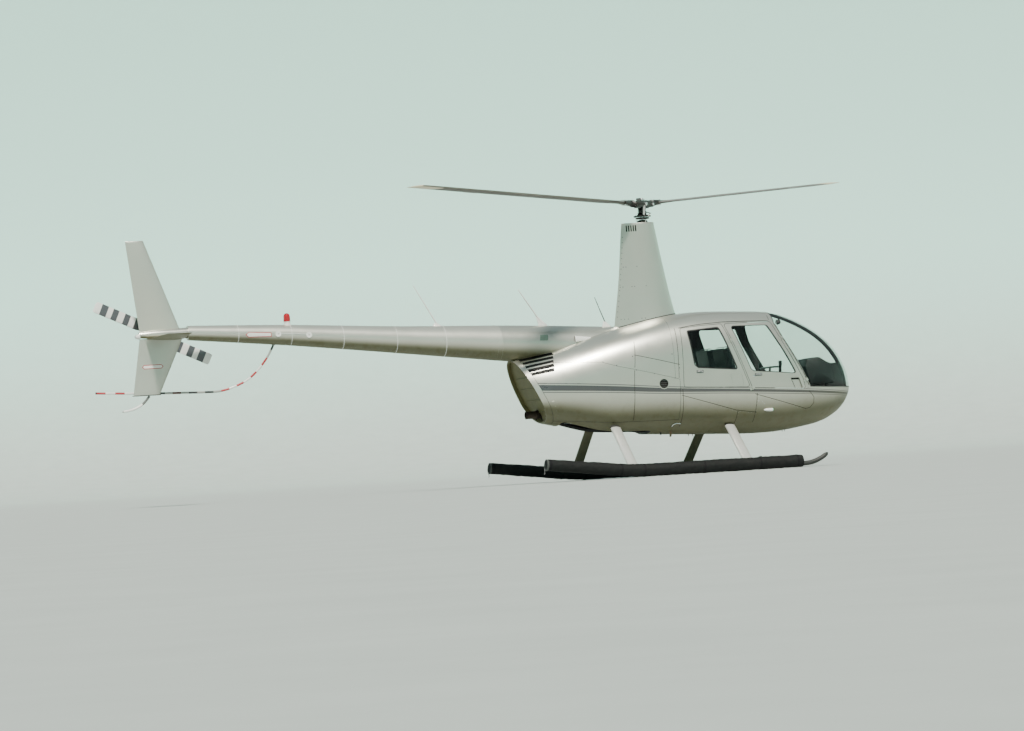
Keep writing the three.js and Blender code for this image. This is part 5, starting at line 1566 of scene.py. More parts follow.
put("guard_tube", guard, "guard", replaces=["tail_guard"], attributes={"span": att})
put("guard_cap", turned(guard_path[-1], guard_path[-1] - guard_path[-2], [(-6, 13.2), (2, 13.2), (5, 9), (6, 1)], 14), "black")
put("guard_root", merged([turned(guard_path[0] + (0, 0, 4), (0.45, 0, 0.9), [(-14, 15), (-4, 17), (8, 26), (11, 26)], 20), block((-5990, 44, 1288), (46, 46, 30), None, 4), turned((-5990, 62, 1288), (1, 0, 0.05), [(-20, 17), (20, 17)], 20)]), "steel")
skid_path_t = smooth_path([(-6040, 0, 1258), (-6113, 0, 1180), (-6268, 0, 1110), (-6372, 0, 1095)], 40)
rr = np.concatenate([[0], np.cumsum(np.linalg.norm(np.diff(skid_path_t, axis=0), axis=1))]) / 1000
M["tail_skid"] = banded("tail_skid_paint", "span", (WHITE, [(0, 0.125, (0.12, 0.125, 0.12)), (0.36, 0.5, (0.30, 0.30, 0.28))]))
ts = rings_mesh(along(skid_path_t, [14] * 34 + [13, 12, 10.5, 8.5, 5, 2], 14, raw_rings=True))
put("tail_skid_tube", ts, "tail_skid", replaces=["tail_skid"], attributes={"span": np.concatenate([np.repeat(rr, 14), [0.0, rr[-1]]])})

# ------------------------------------------------------------------ skids and struts
STRUTS = [(-660, -654, 606), (742, 756, 556)]
SKID_Y = 1067
for side_name, s in SIDES:
    struts, cuffs, bolts = [], [], []
    for xf, xt, zt in STRUTS:
        A, B = np.array([xf, s * SKID_Y, 92.0]), np.array([xt, s * 440.0, zt])
        d = (B - A) / np.linalg.norm(B - A)
        n = np.cross((1, 0, 0), d)
        n /= np.linalg.norm(n)
        t = np.linspace(0, 2 * np.pi, 44, endpoint=False)

        def section(p, chord, thick):
            return [p + np.array([math.cos(q) * chord / 2, 0, 0]) + n * math.sin(q) * thick / 2 * (1 - 0.12 * math.cos(q)) for q in t]

        long = np.linalg.norm(B - A)
        struts.append(boolean(rings_mesh([section(A + d * q * long, 124 - 4 * q, 45) for q in np.linspace(0, 0.955, 8)]), offset(-10, 0)))
        cuffs.append(boolean(rings_mesh([section(A + d * q * long, 124 - 4 * q + e, 45 + e) for q, e in ((0.84, -5), (1.0, -7))]), offset(1, 0)))
        bolts += [(A + d * (0.055 * long) + np.array([dx, 0, 0]) + n * sg * 21.0, n * sg) for dx in (-30, 0, 30) for sg in (1, -1)]
    put(f"struts_{side_name}", merged(struts), "gear", replaces=[f"skid_{side_name}"], angle=50)
    put(f"strut_cuffs_{side_name}", merged(cuffs), "bay")
    put(f"strut_bolts_{side_name}", domes(bolts, 5.5, 3.0), "steel")
    p0, p1, p2 = (-1692, s * SKID_Y, 179.0), (-645, s * SKID_Y, 48.0), (1400, s * SKID_Y, 45.0)
    bend = [p0, (-1000, s * SKID_Y, 92.4), (-760, s * SKID_Y, 62.2), (-700, s * SKID_Y, 55.5), (-645, s * SKID_Y, 50.5), (-590, s * SKID_Y, 48.3), (-500, s * SKID_Y, 47.9), (500, s * SKID_Y, 46.4), p2]
    put(f"skid_tube_{side_name}", along(bend, 31.5, 28), "gear")
    toe_path = smooth_path([(1392, s * SKID_Y, 44), (1500, s * SKID_Y, 52), (1586, s * SKID_Y, 76), (1664, s * SKID_Y, 114), (1722, s * SKID_Y, 153)], 26)
    rad_ = np.interp(np.linspace(0, 1, 26), [0, 0.5, 0.86, 0.93, 0.98, 1], [28, 28, 26, 22, 13, 5])
    put(f"skid_toe_{side_name}", along(toe_path, rad_, 24), "toe")

# ------------------------------------------------------------------ the folded floats in their covers
def pack_path(s, count):
    key = [(-1725, s * SKID_Y, 205), (-1300, s * SKID_Y, 154.2), (-860, s * SKID_Y, 101.7), (-740, s * SKID_Y, 88.6), (-645, s * SKID_Y, 79.6), (-550, s * SKID_Y, 76.6), (-420, s * SKID_Y, 76.0), (400, s * SKID_Y, 76), (1388, s * SKID_Y, 76)]
    p = np.array(key, float)
    run_ = np.concatenate([[0], np.cumsum(np.linalg.norm(np.diff(p, axis=0), axis=1))])
    q = np.linspace(0, run_[-1], count)
    return np.stack([np.interp(q, run_, p[:, i]) for i in range(3)], 1), run_[-1]


def wave(v, seeds, lengths, phase):
    """A smooth fixed mixture of waves."""
    out = 0
    for k, (sd, ln) in enumerate(zip(seeds, lengths)):
        out = out + sd * np.sin(v / ln * 2 * np.pi + phase * (k + 1.7))
    return out


for side_name, s in SIDES:
    n_l, n_r = 300, 56
    path, long = pack_path(s, n_l)
    run_ = np.linspace(0, long, n_l)
    t = np.gradient(path, axis=0)
    t /= np.linalg.norm(t, axis=1)[:, None]
    ang = np.linspace(0, 2 * np.pi, n_r, endpoint=False)  # from the outside round over the top
    rings = []
    ph = 0.7 if s > 0 else 2.1
    for i in range(n_l):
        side_v = np.array([0, 1.0, 0])
        up = np.cross(t[i], side_v)
        up = up if up[2] > 0 else -up
        u = run_[i]
        base = 68.5 + 7 * min(1, u / 1090)
        lumps = wave(u, (1.6, 1.1, 0.9), (410, 173, 92), ph)
        crease = 1.5 * np.sin(2 * ang + 0.6 + wave(u, (0.9, 0.5), (520, 210), ph)) + 1.1 * np.sin(5 * ang + wave(u, (1.4, 1.0), (260, 118), ph + 1))
        folds = 0.9 * np.sin(3 * ang + u / 47.0 + ph) * np.maximum(0, np.sin(u / 260.0 + ph)) + 0.7 * np.sin(9 * ang + wave(u, (1.8,), (150,), ph))
        r = base - 3.2 + lumps * 0.8 + crease * 0.8 + folds * 0.8
        # lengthwise closing flap, above the outside
        flap = 2.6 / (1 + np.exp(-(np.angle(np.exp(1j * (ang - 0.75))) - 0.0) * 26)) * (np.abs(np.angle(np.exp(1j * (ang - 1.15)))) < 0.75)
        r = r + flap * np.where(np.angle(np.exp(1j * (ang - 0.75))) > 0, 1, 0.6)
        # each end is drawn in
        endd = min(u, long - u)
        if endd < 26:
            r = r * (1 - 0.09 * (1 - endd / 26) ** 2)
        pt = path[i] + np.outer(np.cos(ang) * r * (s if s else 1), side_v) + np.outer(np.sin(ang) * r, up)
        pt[:, 2] = np.maximum(pt[:, 2], 3.0 + 0.6 * np.sin(u / 60.0))
        rings.append(pt)
    cover = rings_mesh(rings)
    put(f"float_cover_{side_name}", cover, "pack", replaces=[f"float_pack_{side_name}"], angle=60)
    # rear end: a dished cap with a pale ring and a hanging strap; front end: cinched round the toe
    e0, d0 = path[0], -t[0]
    ring0 = turned(e0, d0, [(-18, 65.0), (-6, 67.5), (2, 67.8), (5, 64.5), (4.5, 60), (1.5, 57)], 44)
    put(f"float_end_ring_{side_name}", ring0, "grey_ring")
    put(f"float_end_cap_{side_name}", turned(e0, d0, [(-8, 60), (3, 60), (6.5, 45), (9, 20), (9.5, 2)], 40), "pack_trim")
    strap = [e0 + np.array([-12, s * -10, -40]), e0 + np.array([-17, s * -12, -66]), e0 + np.array([-15, s * -18, -92]), e0 + np.array([-22, s * -20, -104])]
    strap_m = along(smooth_path(strap, 14), 9, 4, shape=[(0.12, 1), (-0.12, 1), (-0.12, -1), (0.12, -1)])
    put(f"float_strap_{side_name}", strap_m, "webbing")
    e1, d1 = path[-1], t[-1]
    put(f"float_front_cap_{side_name}", boolean(turned(e1, d1, [(-10, 62), (2, 70), (6, 68), (9, 55), (10, 36)], 44), rod(e1 + (-40, 0, -32), e1 + (60, 0, -32), 28.5, sides=24)), "pack_trim")
    bands_ = []
    for u in (52, 900, 1180, 1920, 2600, 3060):
        i = int(u / long * (n_l - 1))
        rr_ = [np.array(rings[j]) for j in (i - 1, i, i + 1)]
        c_ = path[i]
        outer_ring = [c_ + (p - c_) * 1.025 for p in rr_[1]]
        w_ = t[i] * 12
        loop_in = [c_ + (p - c_) * 0.985 for p in rr_[1]]
        bands_.append(rings_mesh([[p - w_ for p in loop_in], [p - w_ for p in outer_ring], [p + w_ for p in outer_ring], [p + w_ for p in loop_in]], closed=True))
    lo = merged(bands_)
    for v in lo.vertices:
        v.co.z = max(v.co.z, 1.0)
    put(f"float_bindings_{side_name}", lo, "pack_trim")


# ------------------------------------------------------------------ rotor head and blades
ROTOR_AZ = math.radians(222)
HUB_Z = 3190.0
radial = np.array([math.cos(ROTOR_AZ), math.sin(ROTOR_AZ), 0.0])
across = np.array([-math.sin(ROTOR_AZ), math.cos(ROTOR_AZ), 0.0])
upward = np.array([0, 0, 1.0])
HEAD = np.stack([radial, across, upward], 1)


def head(p):
    """A point given along the blades, across them and above the hub centre."""
    return HEAD @ np.array(p, float) + (0, 0, HUB_Z)


def head_block(c, size, bevel=3.0):
    return block(head(c), size, HEAD, bevel)


# hub yoke: two side plates that taper to the coning bolts, with a middle block on the mast
yoke = []
for sg in (1, -1):
    outline = rounded([(-208, -30), (-150, -37), (150, -37), (208, -30), (208, 30), (150, 37), (-150, 37), (-208, 30)], 16)
    ring0 = [head((x, sg * 51, z)) for x, z in outline]
    ring1 = [head((x, sg * 33, z)) for x, z in outline]
    yoke.append(rings_mesh([ring0, ring1]))
yoke.append(head_block((0, 0, 0), (150, 66, 62), 8))
put("hub_yoke", merged(yoke), "head", "main_rotor", replaces=["rotor_hub"])
mast = [turned((0, 0, 2800), (0, 0, 1), [(0, 31), (330, 31), (334, 36), (352, 36), (356, 31), (425, 31), (430, 46), (442, 46), (446, 30), (458, 26), (461, 12), (461.5, 1)], 32)]
mast.append(turned(head((0, -72, 0)), HEAD[:, 1], [(0, 14), (6, 22), (18, 22), (22, 26), (122, 26), (126, 22), (138, 22), (144, 14)], 28))
put("mast_and_teeter_bolt", merged(mast), "bright", "main_rotor")
spindles, boots, bolts, horns = [], [], [], []
for sg in (1, -1):
    cone = math.radians(1.2 if sg > 0 else 4.0)
    out = np.array([sg * math.cos(cone), 0, math.sin(cone)])
    up_ = np.array([-sg * math.sin(cone), 0, math.cos(cone)])
    rot = HEAD @ np.stack([out, (0, 1.0, 0), up_], 1)
    base_ = head((0, 0, 0))

    def at(r, y, z):
        return base_ + rot @ np.array([r, y, z], float)

    spindles.append(turned(at(140, 0, 0), rot[:, 0], [(0, 20), (4, 27), (62, 27), (66, 33), (84, 33), (88, 29), (150, 29), (156, 24)], 28))
    boots.append(turned(at(206, 0, 0), rot[:, 0], [(0, 30)] + [v for i in range(5) for v in ((4 + i * 11, 38), (9 + i * 11, 31))] + [(62, 36), (68, 36), (70, 30)], 28))
    bolts.append(turned(head((sg * 176, -68, 0)), HEAD[:, 1], [(0, 12), (4, 17), (12, 17), (14, 13), (122, 13), (124, 17), (132, 17), (136, 12)], 20))
    # blade cuff: a forging that widens from the spindle to the blade root
    rings = []
    for r, w, t in ((270, 30, 32), (285, 33, 35), (318, 35, 36), (350, 42, 32), (392, 52, 26), (440, 60, 22), (470, 58, 20)):
        n_ = 28
        q = np.linspace(0, 2 * np.pi, n_, endpoint=False)
        rings.append([at(r, (abs(math.cos(a_)) ** 0.7 * np.sign(math.cos(a_))) * w * 0.98 - 4, (abs(math.sin(a_)) ** 0.8 * np.sign(math.sin(a_))) * t) for a_ in q])
    horns.append(rings_mesh(rings))
    side_y = sg * 1
    horn_path = [at(262, sg * 28, -4), at(250, sg * 60, -6), at(205, sg * 88, -8), at(150, sg * 97, -9), at(112, sg * 98, -10)]
    horns.append(along(smooth_path(horn_path, 14), 13, 12, hint=(0, 0, 1), shape=[(math.cos(a_) * 0.9, math.sin(a_) * 1.2) for a_ in np.linspace(0, 2 * np.pi, 12, endpoint=False)]))
    for r in (392, 430):
        for y in (-24, 18):
            bolts.append(turned(at(r, y, -34), rot[:, 2], [(0, 6), (2, 9), (8, 9), (60, 9), (66, 9), (68, 6)], 12))
put("blade_spindles", merged(spindles), "bright", "main_rotor")
put("spindle_boots", merged(boots), "knob", "main_rotor")
put("blade_cuffs_and_horns", merged(horns), "head", "main_rotor")
put("head_bolts", merged(bolts), "bright", "main_rotor")
top = [head_block((-30, 0, 42), (190, 46, 12), 3), head_block((62, 0, 54), (26, 60, 30), 4)]
for sg in (1, -1):
    top.append(head_block((sg * 104, 0, -41), (50, 70, 14), 3))
put("droop_stops", merged(top), "steel", "main_rotor")

plates = [
    turned((0, 0, 3036), (0, 0, 1), [(0, 70), (3, 85), (19, 87), (23, 80), (27, 62), (28, 40)], 40),
    turned((0, 0, 3012), (0, 0, 1), [(0, 44), (0, 66), (4, 82), (14, 84), (18, 78), (21, 60)], 40),
]
plates = [boolean(p, rod((0, 0, 2990), (0, 0, 3090), 33, sides=32)) for p in plates]
ears = []
for k in range(4):
    a_ = ROTOR_AZ + 0.4 + k * math.pi / 2
    d_ = np.array([math.cos(a_), math.sin(a_), 0])
    ears.append(block(np.array([0, 0, 3046.0]) + d_ * 90, (22, 22, 18), np.stack([d_, np.cross((0, 0, 1), d_), (0, 0, 1)], 1), 3))
put("swash_plates", merged(plates + ears), "head", "main_rotor", replaces=["swashplate"])
put("swash_bearing", boolean(turned((0, 0, 3031), (0, 0, 1), [(0, 70), (0, 79), (6, 79), (6, 70)], 40), rod((0, 0, 3000), (0, 0, 3070), 60, sides=32)), "bright", "main_rotor")
links, ends = [], []
for sg in (1, -1):
    hi = head((sg * 112, sg * 98, -10))
    lo = np.array([0, 0, 3046.0]) + (hi - (0, 0, hi[2])) / np.linalg.norm((hi - (0, 0, hi[2]))[:2]) * 92
    u_ = (hi - lo) / np.linalg.norm(hi - lo)
    links.append(turned(lo + u_ * 12, u_, [(0, 7), (8, 7), (12, 12.5), (np.linalg.norm(hi - lo) - 36, 12.5), (np.linalg.norm(hi - lo) - 32, 6), (np.linalg.norm(hi - lo) - 24, 6)], 16))
    for c_ in (lo, hi):
        ends.append(turned(c_ - across * 9, across, [(0, 8), (2, 13), (16, 13), (18, 8)], 18))
    ends.append(rod(lo - radial * 12, lo + radial * 12, 5, sides=10))
# scissor links between mast collar and swashplate
collar = turned((0, 0, 3088), (0, 0, 1), [(0, 33), (0, 46), (22, 46), (22, 33)], 32)
for sg in (1,):
    d_ = np.array([math.cos(ROTOR_AZ + 1.5), math.sin(ROTOR_AZ + 1.5), 0])
    knee = np.array([0, 0, 3072.0]) + d_ * 120
    links.append(rod(np.array([0, 0, 3098.0]) + d_ * 46, knee, 6, sides=10))
    links.append(rod(np.array([0, 0, 3050.0]) + d_ * 86, knee, 6, sides=10))
put("pitch_links", merged(links), "bright", "main_rotor")
put("link_ends", merged(ends + [collar]), "head", "main_rotor")
bellows = [(0, 34)] + [v for i in range(4) for v in ((1 + i * 6.2, 50), (4 + i * 6.2, 56), (6 + i * 6.2, 49))] + [(26, 34)]
upper_bellows = [(0, 34)] + [v for i in range(6) for v in ((1 + i * 7, 44), (4 + i * 7, 51), (7 + i * 7, 44))] + [(45, 34)]
put("mast_boots", merged([turned((0, 0, 3062), (0, 0, 1), bellows, 32), turned((0, 0, 3111), (0, 0, 1), upper_bellows, 32)]), "knob", "main_rotor")
mast_sleeve = turned((0, 0, 2880), (0, 0, 1), [(0, 42), (84, 42), (88, 58), (94, 62), (106, 60), (110, 53), (114, 57), (120, 50), (123, 43)], 32)
put("mast_sleeve", boolean(mast_sleeve, rod((0, 0, 2870), (0, 0, 3050), 37, sides=32)), "head")
rods_ = []
for a_ in (0.9, 2.9, 5.0):
    d_ = np.array([math.cos(a_), math.sin(a_), 0])
    rods_.append(rod(d_ * 46 + (0, 0, 2935), d_ * 70 + (0, 0, 3016), 6.5, sides=10))
put("control_rods", merged([boolean(r_, turned((0, 0, 3005), (0, 0, 1), [(0, 200), (40, 200)], 20)) for r_ in rods_]), "bright")


def cambered(n=26):
    """Airfoil points round the blade: (distance behind the nose, height), for a chord of 1 and a thickness of 1."""
    t = (1 - np.cos(np.linspace(0, np.pi, n))) / 2
    h = 5 * (0.2969 * np.sqrt(t) - 0.1260 * t - 0.3516 * t**2 + 0.2843 * t**3 - 0.1015 * t**4)
    h = h * 0.5 / h.max()
    up = [(t[i], h[i] * 1.03) for i in range(n)]
    low = [(t[i], -h[i] * 0.94) for i in range(n - 2, 0, -1)]
    return up + low


AIRFOIL = cambered()


def lofted_blade(rows, to_world, side_of_nose=1.0):
    """rows: radius, chord, thickness. Returns the mesh, with span and chord attributes, placed by to_world(r, nose distance, height)."""
    rings, span, chord = [], [], []
    for r, c, t in rows:
        rings.append([to_world(r, (0.3 - a_) * c * side_of_nose, h_ * t) for a_, h_ in AIRFOIL])
        span += [r / 1000] * len(AIRFOIL)
        chord += [a_ for a_, _ in AIRFOIL]
    span += [rows[0][0] / 1000, rows[-1][0] / 1000]
    chord += [0.5, 0.5]
    return rings_mesh(rings), {"span": span, "chord": chord}


BLADE = np.array([[325, 70, 50], [380, 80, 46], [420, 100, 44], [560, 168, 38], [700, 246, 31.5], [760, 256, 30], [900, 256, 30]], float)
rows = [tuple(spline(BLADE[:, 0], BLADE[:, 1:], np.array([r]))[0].tolist()) for r in np.linspace(352, 900, 16)]
rows = [(r, *v) for r, v in zip(np.linspace(352, 900, 16), rows)]
rows += [(r, 256, 30 - 4 * (r - 900) / 4070) for r in np.linspace(1000, 4955, 30)]
rows += [(4599, 256, 26.4), (4604, 256, 26.4)]
rows += [(4975, 254, 25.5), (4995, 246, 24), (5010, 234, 21), (5021, 218, 16), (5028, 204, 9), (5030, 198, 3)]
rows = sorted(rows)
for name, cone, az in (("main_blade_near", 1.2, 222), ("main_blade_far", 4.0, 42)):
    c_, a_ = math.radians(cone), math.radians(az)
    cut_k = 1 / math.cos(c_)

    def world_of(r, y, z, c_=c_, a_=a_, cut_k=cut_k):
        lx, lz = r * cut_k * math.cos(c_) - z * math.sin(c_), r * cut_k * math.sin(c_) + z * math.cos(c_)
        return (lx * math.cos(a_) - y * math.sin(a_), lx * math.sin(a_) + y * math.cos(a_), HUB_Z + lz)

    me, att = lofted_blade(rows, world_of)
    put(name.replace("main_blade", "blade"), me, "blade", "main_rotor", replaces=[name], attributes=att, angle=45)
    tabs = [raw([world_of(r_, (0.3 - q_) * 256, z_) for r_ in (3500, 3760) for q_, z_ in ((0.985, 1.4), (1.06, 0.6), (1.06, -0.8), (0.985, -1.4))], [[0, 1, 2, 3], [7, 6, 5, 4], [0, 4, 5, 1], [1, 5, 6, 2], [2, 6, 7, 3], [3, 7, 4, 0]])]
    put(name.replace("main_blade", "trim_tab"), merged(tabs), "alu", "main_rotor")

# ------------------------------------------------------------------ tail rotor
TILT = math.radians(25)
TC = np.array([-5893.0, 272.0, 1976.0])
e_r = np.array([-math.cos(TILT), 0, math.sin(TILT)])
e_c = np.array([-math.sin(TILT), 0, -math.cos(TILT)])
e_y = np.array([0, 1.0, 0])
rot_t = np.stack([e_r, e_y, e_c], 1)
hub_t = [turned(TC + (0, -91, 0), (0, 1, 0), [(0, 23), (60, 23), (64, 27), (76, 27), (80, 22), (112, 22), (118, 16), (119, 1)], 28)]
for sg in (1, -1):
    outline = rounded([(-120, -13), (-60, -22), (60, -22), (120, -13), (120, 13), (60, 22), (-60, 22), (-120, 13)], 7)
    hub_t.append(rings_mesh([[TC + rot_t @ np.array((x, sg * 20, z)) for x, z in outline], [TC + rot_t @ np.array((x, sg * 12, z)) for x, z in outline]]))
hub_t.append(block(TC, (60, 40, 46), rot_t, 5))
put("tail_hub_plates", merged(hub_t), "head", "tail_rotor", replaces=["tail_rotor_hub"])
t_parts = []
for sg in (1, -1):
    t_parts.append(turned(TC + e_r * sg * 60, e_r * sg, [(0, 11), (40, 11), (44, 14), (66, 14), (70, 10)], 20))
    t_parts.append(rod(TC + e_r * sg * 74 + e_c * sg * 42 + (0, 4, 0), TC + e_r * sg * 20 + e_c * sg * 44 + (0, -52, 0), 5, sides=10))
    t_parts.append(block(TC + e_r * sg * 92 + e_c * sg * 22, (36, 16, 46), rot_t, 3))
    for d_ in (95, 112):
        t_parts.append(rod(TC + e_r * sg * d_ + (0, -26, 0), TC + e_r * sg * d_ + (0, 26, 0), 5.5, sides=12))
t_parts.append(turned(TC + (0, -62, 0), (0, 1, 0), [(0, 28), (3, 50), (12, 50), (15, 28)], 28))
put("tail_pitch_parts", merged(t_parts), "bright", "tail_rotor")
TB = np.array([[95, 60, 26], [130, 80, 24.5], [200, 130, 20], [260, 130, 19]], float)
t_rows = [(r, *spline(TB[:, 0], TB[:, 1:], np.array([r]))[0]) for r in np.linspace(134, 240, 9)]
t_rows += [(r, 130, 19.4 - 5.4 * (r - 240) / 477) for r in sorted([260, 306.4, 307.6, 350, 374.4, 375.6, 410, 449.4, 450.6, 480, 519.4, 520.6, 550, 579.4, 580.6, 620, 659.4, 660.6, 690, 715])]
t_rows += [(726, 122, 12), (733, 108, 8), (737, 92, 3)]
for name, sg in (("tail_blade_aft", 1), ("tail_blade_front", -1)):
    me, att = lofted_blade(t_rows, lambda r, y, z, sg=sg: tuple(TC + e_r * sg * r - e_c * sg * y * -1 + e_y * z))
    put(name.replace("tail_blade", "tail_rotor_blade"), me, "tail_blade", "tail_rotor", replaces=[name], attributes=att, angle=45)


# ------------------------------------------------------------------ cabin
CABIN = offset(WALL + 2.0, 0, (2, 2))
FLOOR_Z, SEAT_Z = 600, 900
floor_ = both(CABIN, slab(92, 2180, -HUGE, HUGE, FLOOR_Z - 20, FLOOR_Z - 3))
put("floor_carpet", cleaned(floor_), "carpet", replaces=["cabin_floor"])
boxes = []
for s in (1, -1):
    boxes.append(both(CABIN, block((1050, s * 280, (FLOOR_Z + SEAT_Z) / 2), (500, 440, SEAT_Z - FLOOR_Z), None, 12)))
    boxes.append(both(CABIN, block((340, s * 284, (FLOOR_Z + SEAT_Z + 30) / 2), (440, 552, SEAT_Z + 30 - FLOOR_Z), None, 12)))
put("seat_boxes", merged([cleaned(b_) for b_ in boxes]), "console")
lids = []
for s in (1, -1):
    lids.append(block((1302, s * 280, 760), (5, 380, 210), None, 2))
    lids.append(block((562, s * 284, 770), (5, 470, 230), None, 2))
put("seat_box_doors", merged(lids), "carpet")
catches = []
for s in (1, -1):
    catches += [turned((1304, s * 280, 850), (1, 0, 0), [(0, 9), (4, 9), (6, 5), (6.2, 1)], 14), turned((564, s * 284, 870), (1, 0, 0), [(0, 9), (4, 9), (6, 5), (6.2, 1)], 14)]
put("seat_box_catches", merged(catches), "bright")
wall_ = both(CABIN, prism_y([(92, FLOOR_Z + 2), (110, FLOOR_Z + 2), (42, 1900), (20, 1900)], -HUGE, HUGE))
put("rear_bulkhead", cleaned(wall_), "lining", replaces=["firewall"])
head_ = both(layer(WALL + 3, WALL + 7, 130, 1420), slab(136, 1372, -HUGE, HUGE, 1735, 1900))
put("headlining", cleaned(head_), "ceiling")
for side_name, s in SIDES:
    lower_f = [[1030, 975], [1660, 935], [1630, 1030], [1560, 1095], [1040, 1138]]
    put(f"front_door_lining_{side_name}", cleaned(patch(WALL + 0.5, WALL + 7, rounded(lower_f, 24), s)), "lining", f"front_door_{side_name}_body")
    lower_r = [[190, 1025], [950, 990], [880, 1160], [200, 1215]]
    put(f"rear_door_lining_{side_name}", cleaned(patch(WALL + 0.5, WALL + 7, rounded(lower_r, 24), s)), "lining", f"rear_door_{side_name}_body")
    pull = []
    for x, z, body_ in ((1180, 1075, "front"), (420, 1120, "rear")):
        p, m = skin_frame(x, z, s)
        c_ = p - m[:, 2] * (WALL + 8)
        put(f"{body_}_door_pull_{side_name}", along([c_ + m @ np.array(q) for q in ((-70.0, 0, 0), (-62, 0, -16), (-30, 0, -24), (30, 0, -24), (62, 0, -16), (70, 0, 0))], 6.5, 12), "knob", f"{body_}_door_{side_name}_body")


def pad(name, centre, size, tilt, bulge, seed):
    """A stuffed cushion: a rounded block whose cover is blown up by a cloth run, then sewn channels pressed into it. size is length, width, thickness; tilt is about the sideways axis."""
    lx, ly, lz = [v - g for v, g in zip(size, (bulge * 0.9, bulge * 0.9, bulge * 1.5))]
    rings = []
    for zz, ins in ((-lz / 2, 14), (-lz / 2 + 6, 5), (-lz / 2 + 16, 0), (lz / 2 - 16, 0), (lz / 2 - 6, 5), (lz / 2, 14)):
        o = rounded([(-lx / 2 + ins, -ly / 2 + ins), (lx / 2 - ins, -ly / 2 + ins), (lx / 2 - ins, ly / 2 - ins), (-lx / 2 + ins, ly / 2 - ins)], 42, 8)
        rings.append([(x, y, zz) for x, y in o])
    me = rings_mesh(rings)
    me.transform(Matrix.Scale(0.001, 4))
    scene = bpy.context.scene

    def applied(me, kind, **values):
        o = bpy.data.objects.new("pad_work", me)
        scene.collection.objects.link(o)
        m = o.modifiers.new("m", kind)
        for key, value in values.items():
            setattr(m, key, value)
        made = bpy.data.meshes.new_from_object(o.evaluated_get(bpy.context.evaluated_depsgraph_get()))
        bpy.data.objects.remove(o)
        return made

    me = applied(me, "REMESH", mode="VOXEL", voxel_size=0.006)
    rest = np.zeros(len(me.vertices) * 3)
    me.vertices.foreach_get("co", rest)
    rest = rest.reshape(-1, 3)
    o = bpy.data.objects.new("pad_work", me)
    scene.collection.objects.link(o)
    m = o.modifiers.new("c", "CLOTH")
    m.settings.use_pressure, m.settings.uniform_pressure_force = True, 4.0
    m.settings.quality = 4
    m.settings.effector_weights.gravity = 0
    scene.frame_start, scene.frame_end = 1, 20
    m.point_cache.frame_start, m.point_cache.frame_end = 1, 20
    for frame_ in range(1, 21):
        scene.frame_set(frame_)
    swollen = bpy.data.meshes.new_from_object(o.evaluated_get(bpy.context.evaluated_depsgraph_get()))
    bpy.data.objects.remove(o)
    scene.frame_set(1)
    co = np.zeros(len(swollen.vertices) * 3)
    swollen.vertices.foreach_get("co", co)
    move = co.reshape(-1, 3) - rest
    far = np.linalg.norm(move, axis=1)
    print("pad", name, "points", len(rest), "swelled by mm, mean and most:", round(float(far.mean()) * 1000, 1), round(float(far.max()) * 1000, 1))
    move *= np.minimum(1, bulge * 0.001 / np.maximum(far, 1e-9))[:, None]
    swollen.vertices.foreach_set("co", (rest + move).ravel())
    swollen.update()
    me = applied(swollen, "SUBSURF", levels=1, render_levels=1)
    me = applied(me, "DECIMATE", ratio=0.27)
    co = np.zeros(len(me.vertices) * 3)
    me.vertices.foreach_get("co", co)
    co = co.reshape(-1, 3) * 1000
    # crowned: fuller in the middle, drawn in at the corners
    u, v = co[:, 0] / (size[0] / 2), co[:, 1] / (size[1] / 2)
    topside = np.clip(co[:, 2] / (size[2] / 2), 0, 1)
    co[:, 2] += topside * (9 * (1 - u**2) * (1 - v**2) - 5 * np.abs(u) ** 4 * np.abs(v) ** 4 - 3)
    # sewn channels across the top, and a border seam
    for c_ in np.arange(-0.55, 0.56, 0.275):
        inside = (np.abs(v) < 0.78) & (np.abs(u) < 0.86)
        co[:, 2] -= topside * 5.0 * np.exp(-(((u - c_) * size[0] / 2) / 6.5) ** 2) * inside
    box_d = np.maximum(np.abs(u) / 0.88, np.abs(v) / 0.80)
    co[:, 2] -= topside * 5.0 * np.exp(-(((box_d - 1) * 120) / 7.0) ** 2)
    # fine creases from use
    co[:, 2] += topside * (0.9 * np.sin(u * 17 + 3 * np.sin(v * 5 + seed)) * np.sin(v * 9 + seed * 2))
    me.vertices.foreach_set("co", co.ravel())
    me.transform(Matrix.Translation(centre) @ Matrix.Rotation(tilt, 4, "Y"))
    me.update()
    return me


def laid(me, points, direction, lift=2.5):
    """The points moved along a direction until they lie on a cushion, lift above it."""
    co = np.zeros(len(me.vertices) * 3)
    me.vertices.foreach_get("co", co)
    tree = BVHTree.FromPolygons(co.reshape(-1, 3).tolist(), [tuple(p.vertices) for p in me.polygons])
    d = Vector(direction).normalized()
    out = []
    for p in points:
        hit = tree.ray_cast(Vector(p) - d * 200, d)
        out.append(np.array(hit[0] if hit[0] is not None else p) - np.array(d) * lift)
    return out


def mirrored(me):
    m2 = me.copy()
    m2.transform(Matrix.Scale(-1, 4, (0, 1, 0)))
    m2.flip_normals()
    return m2


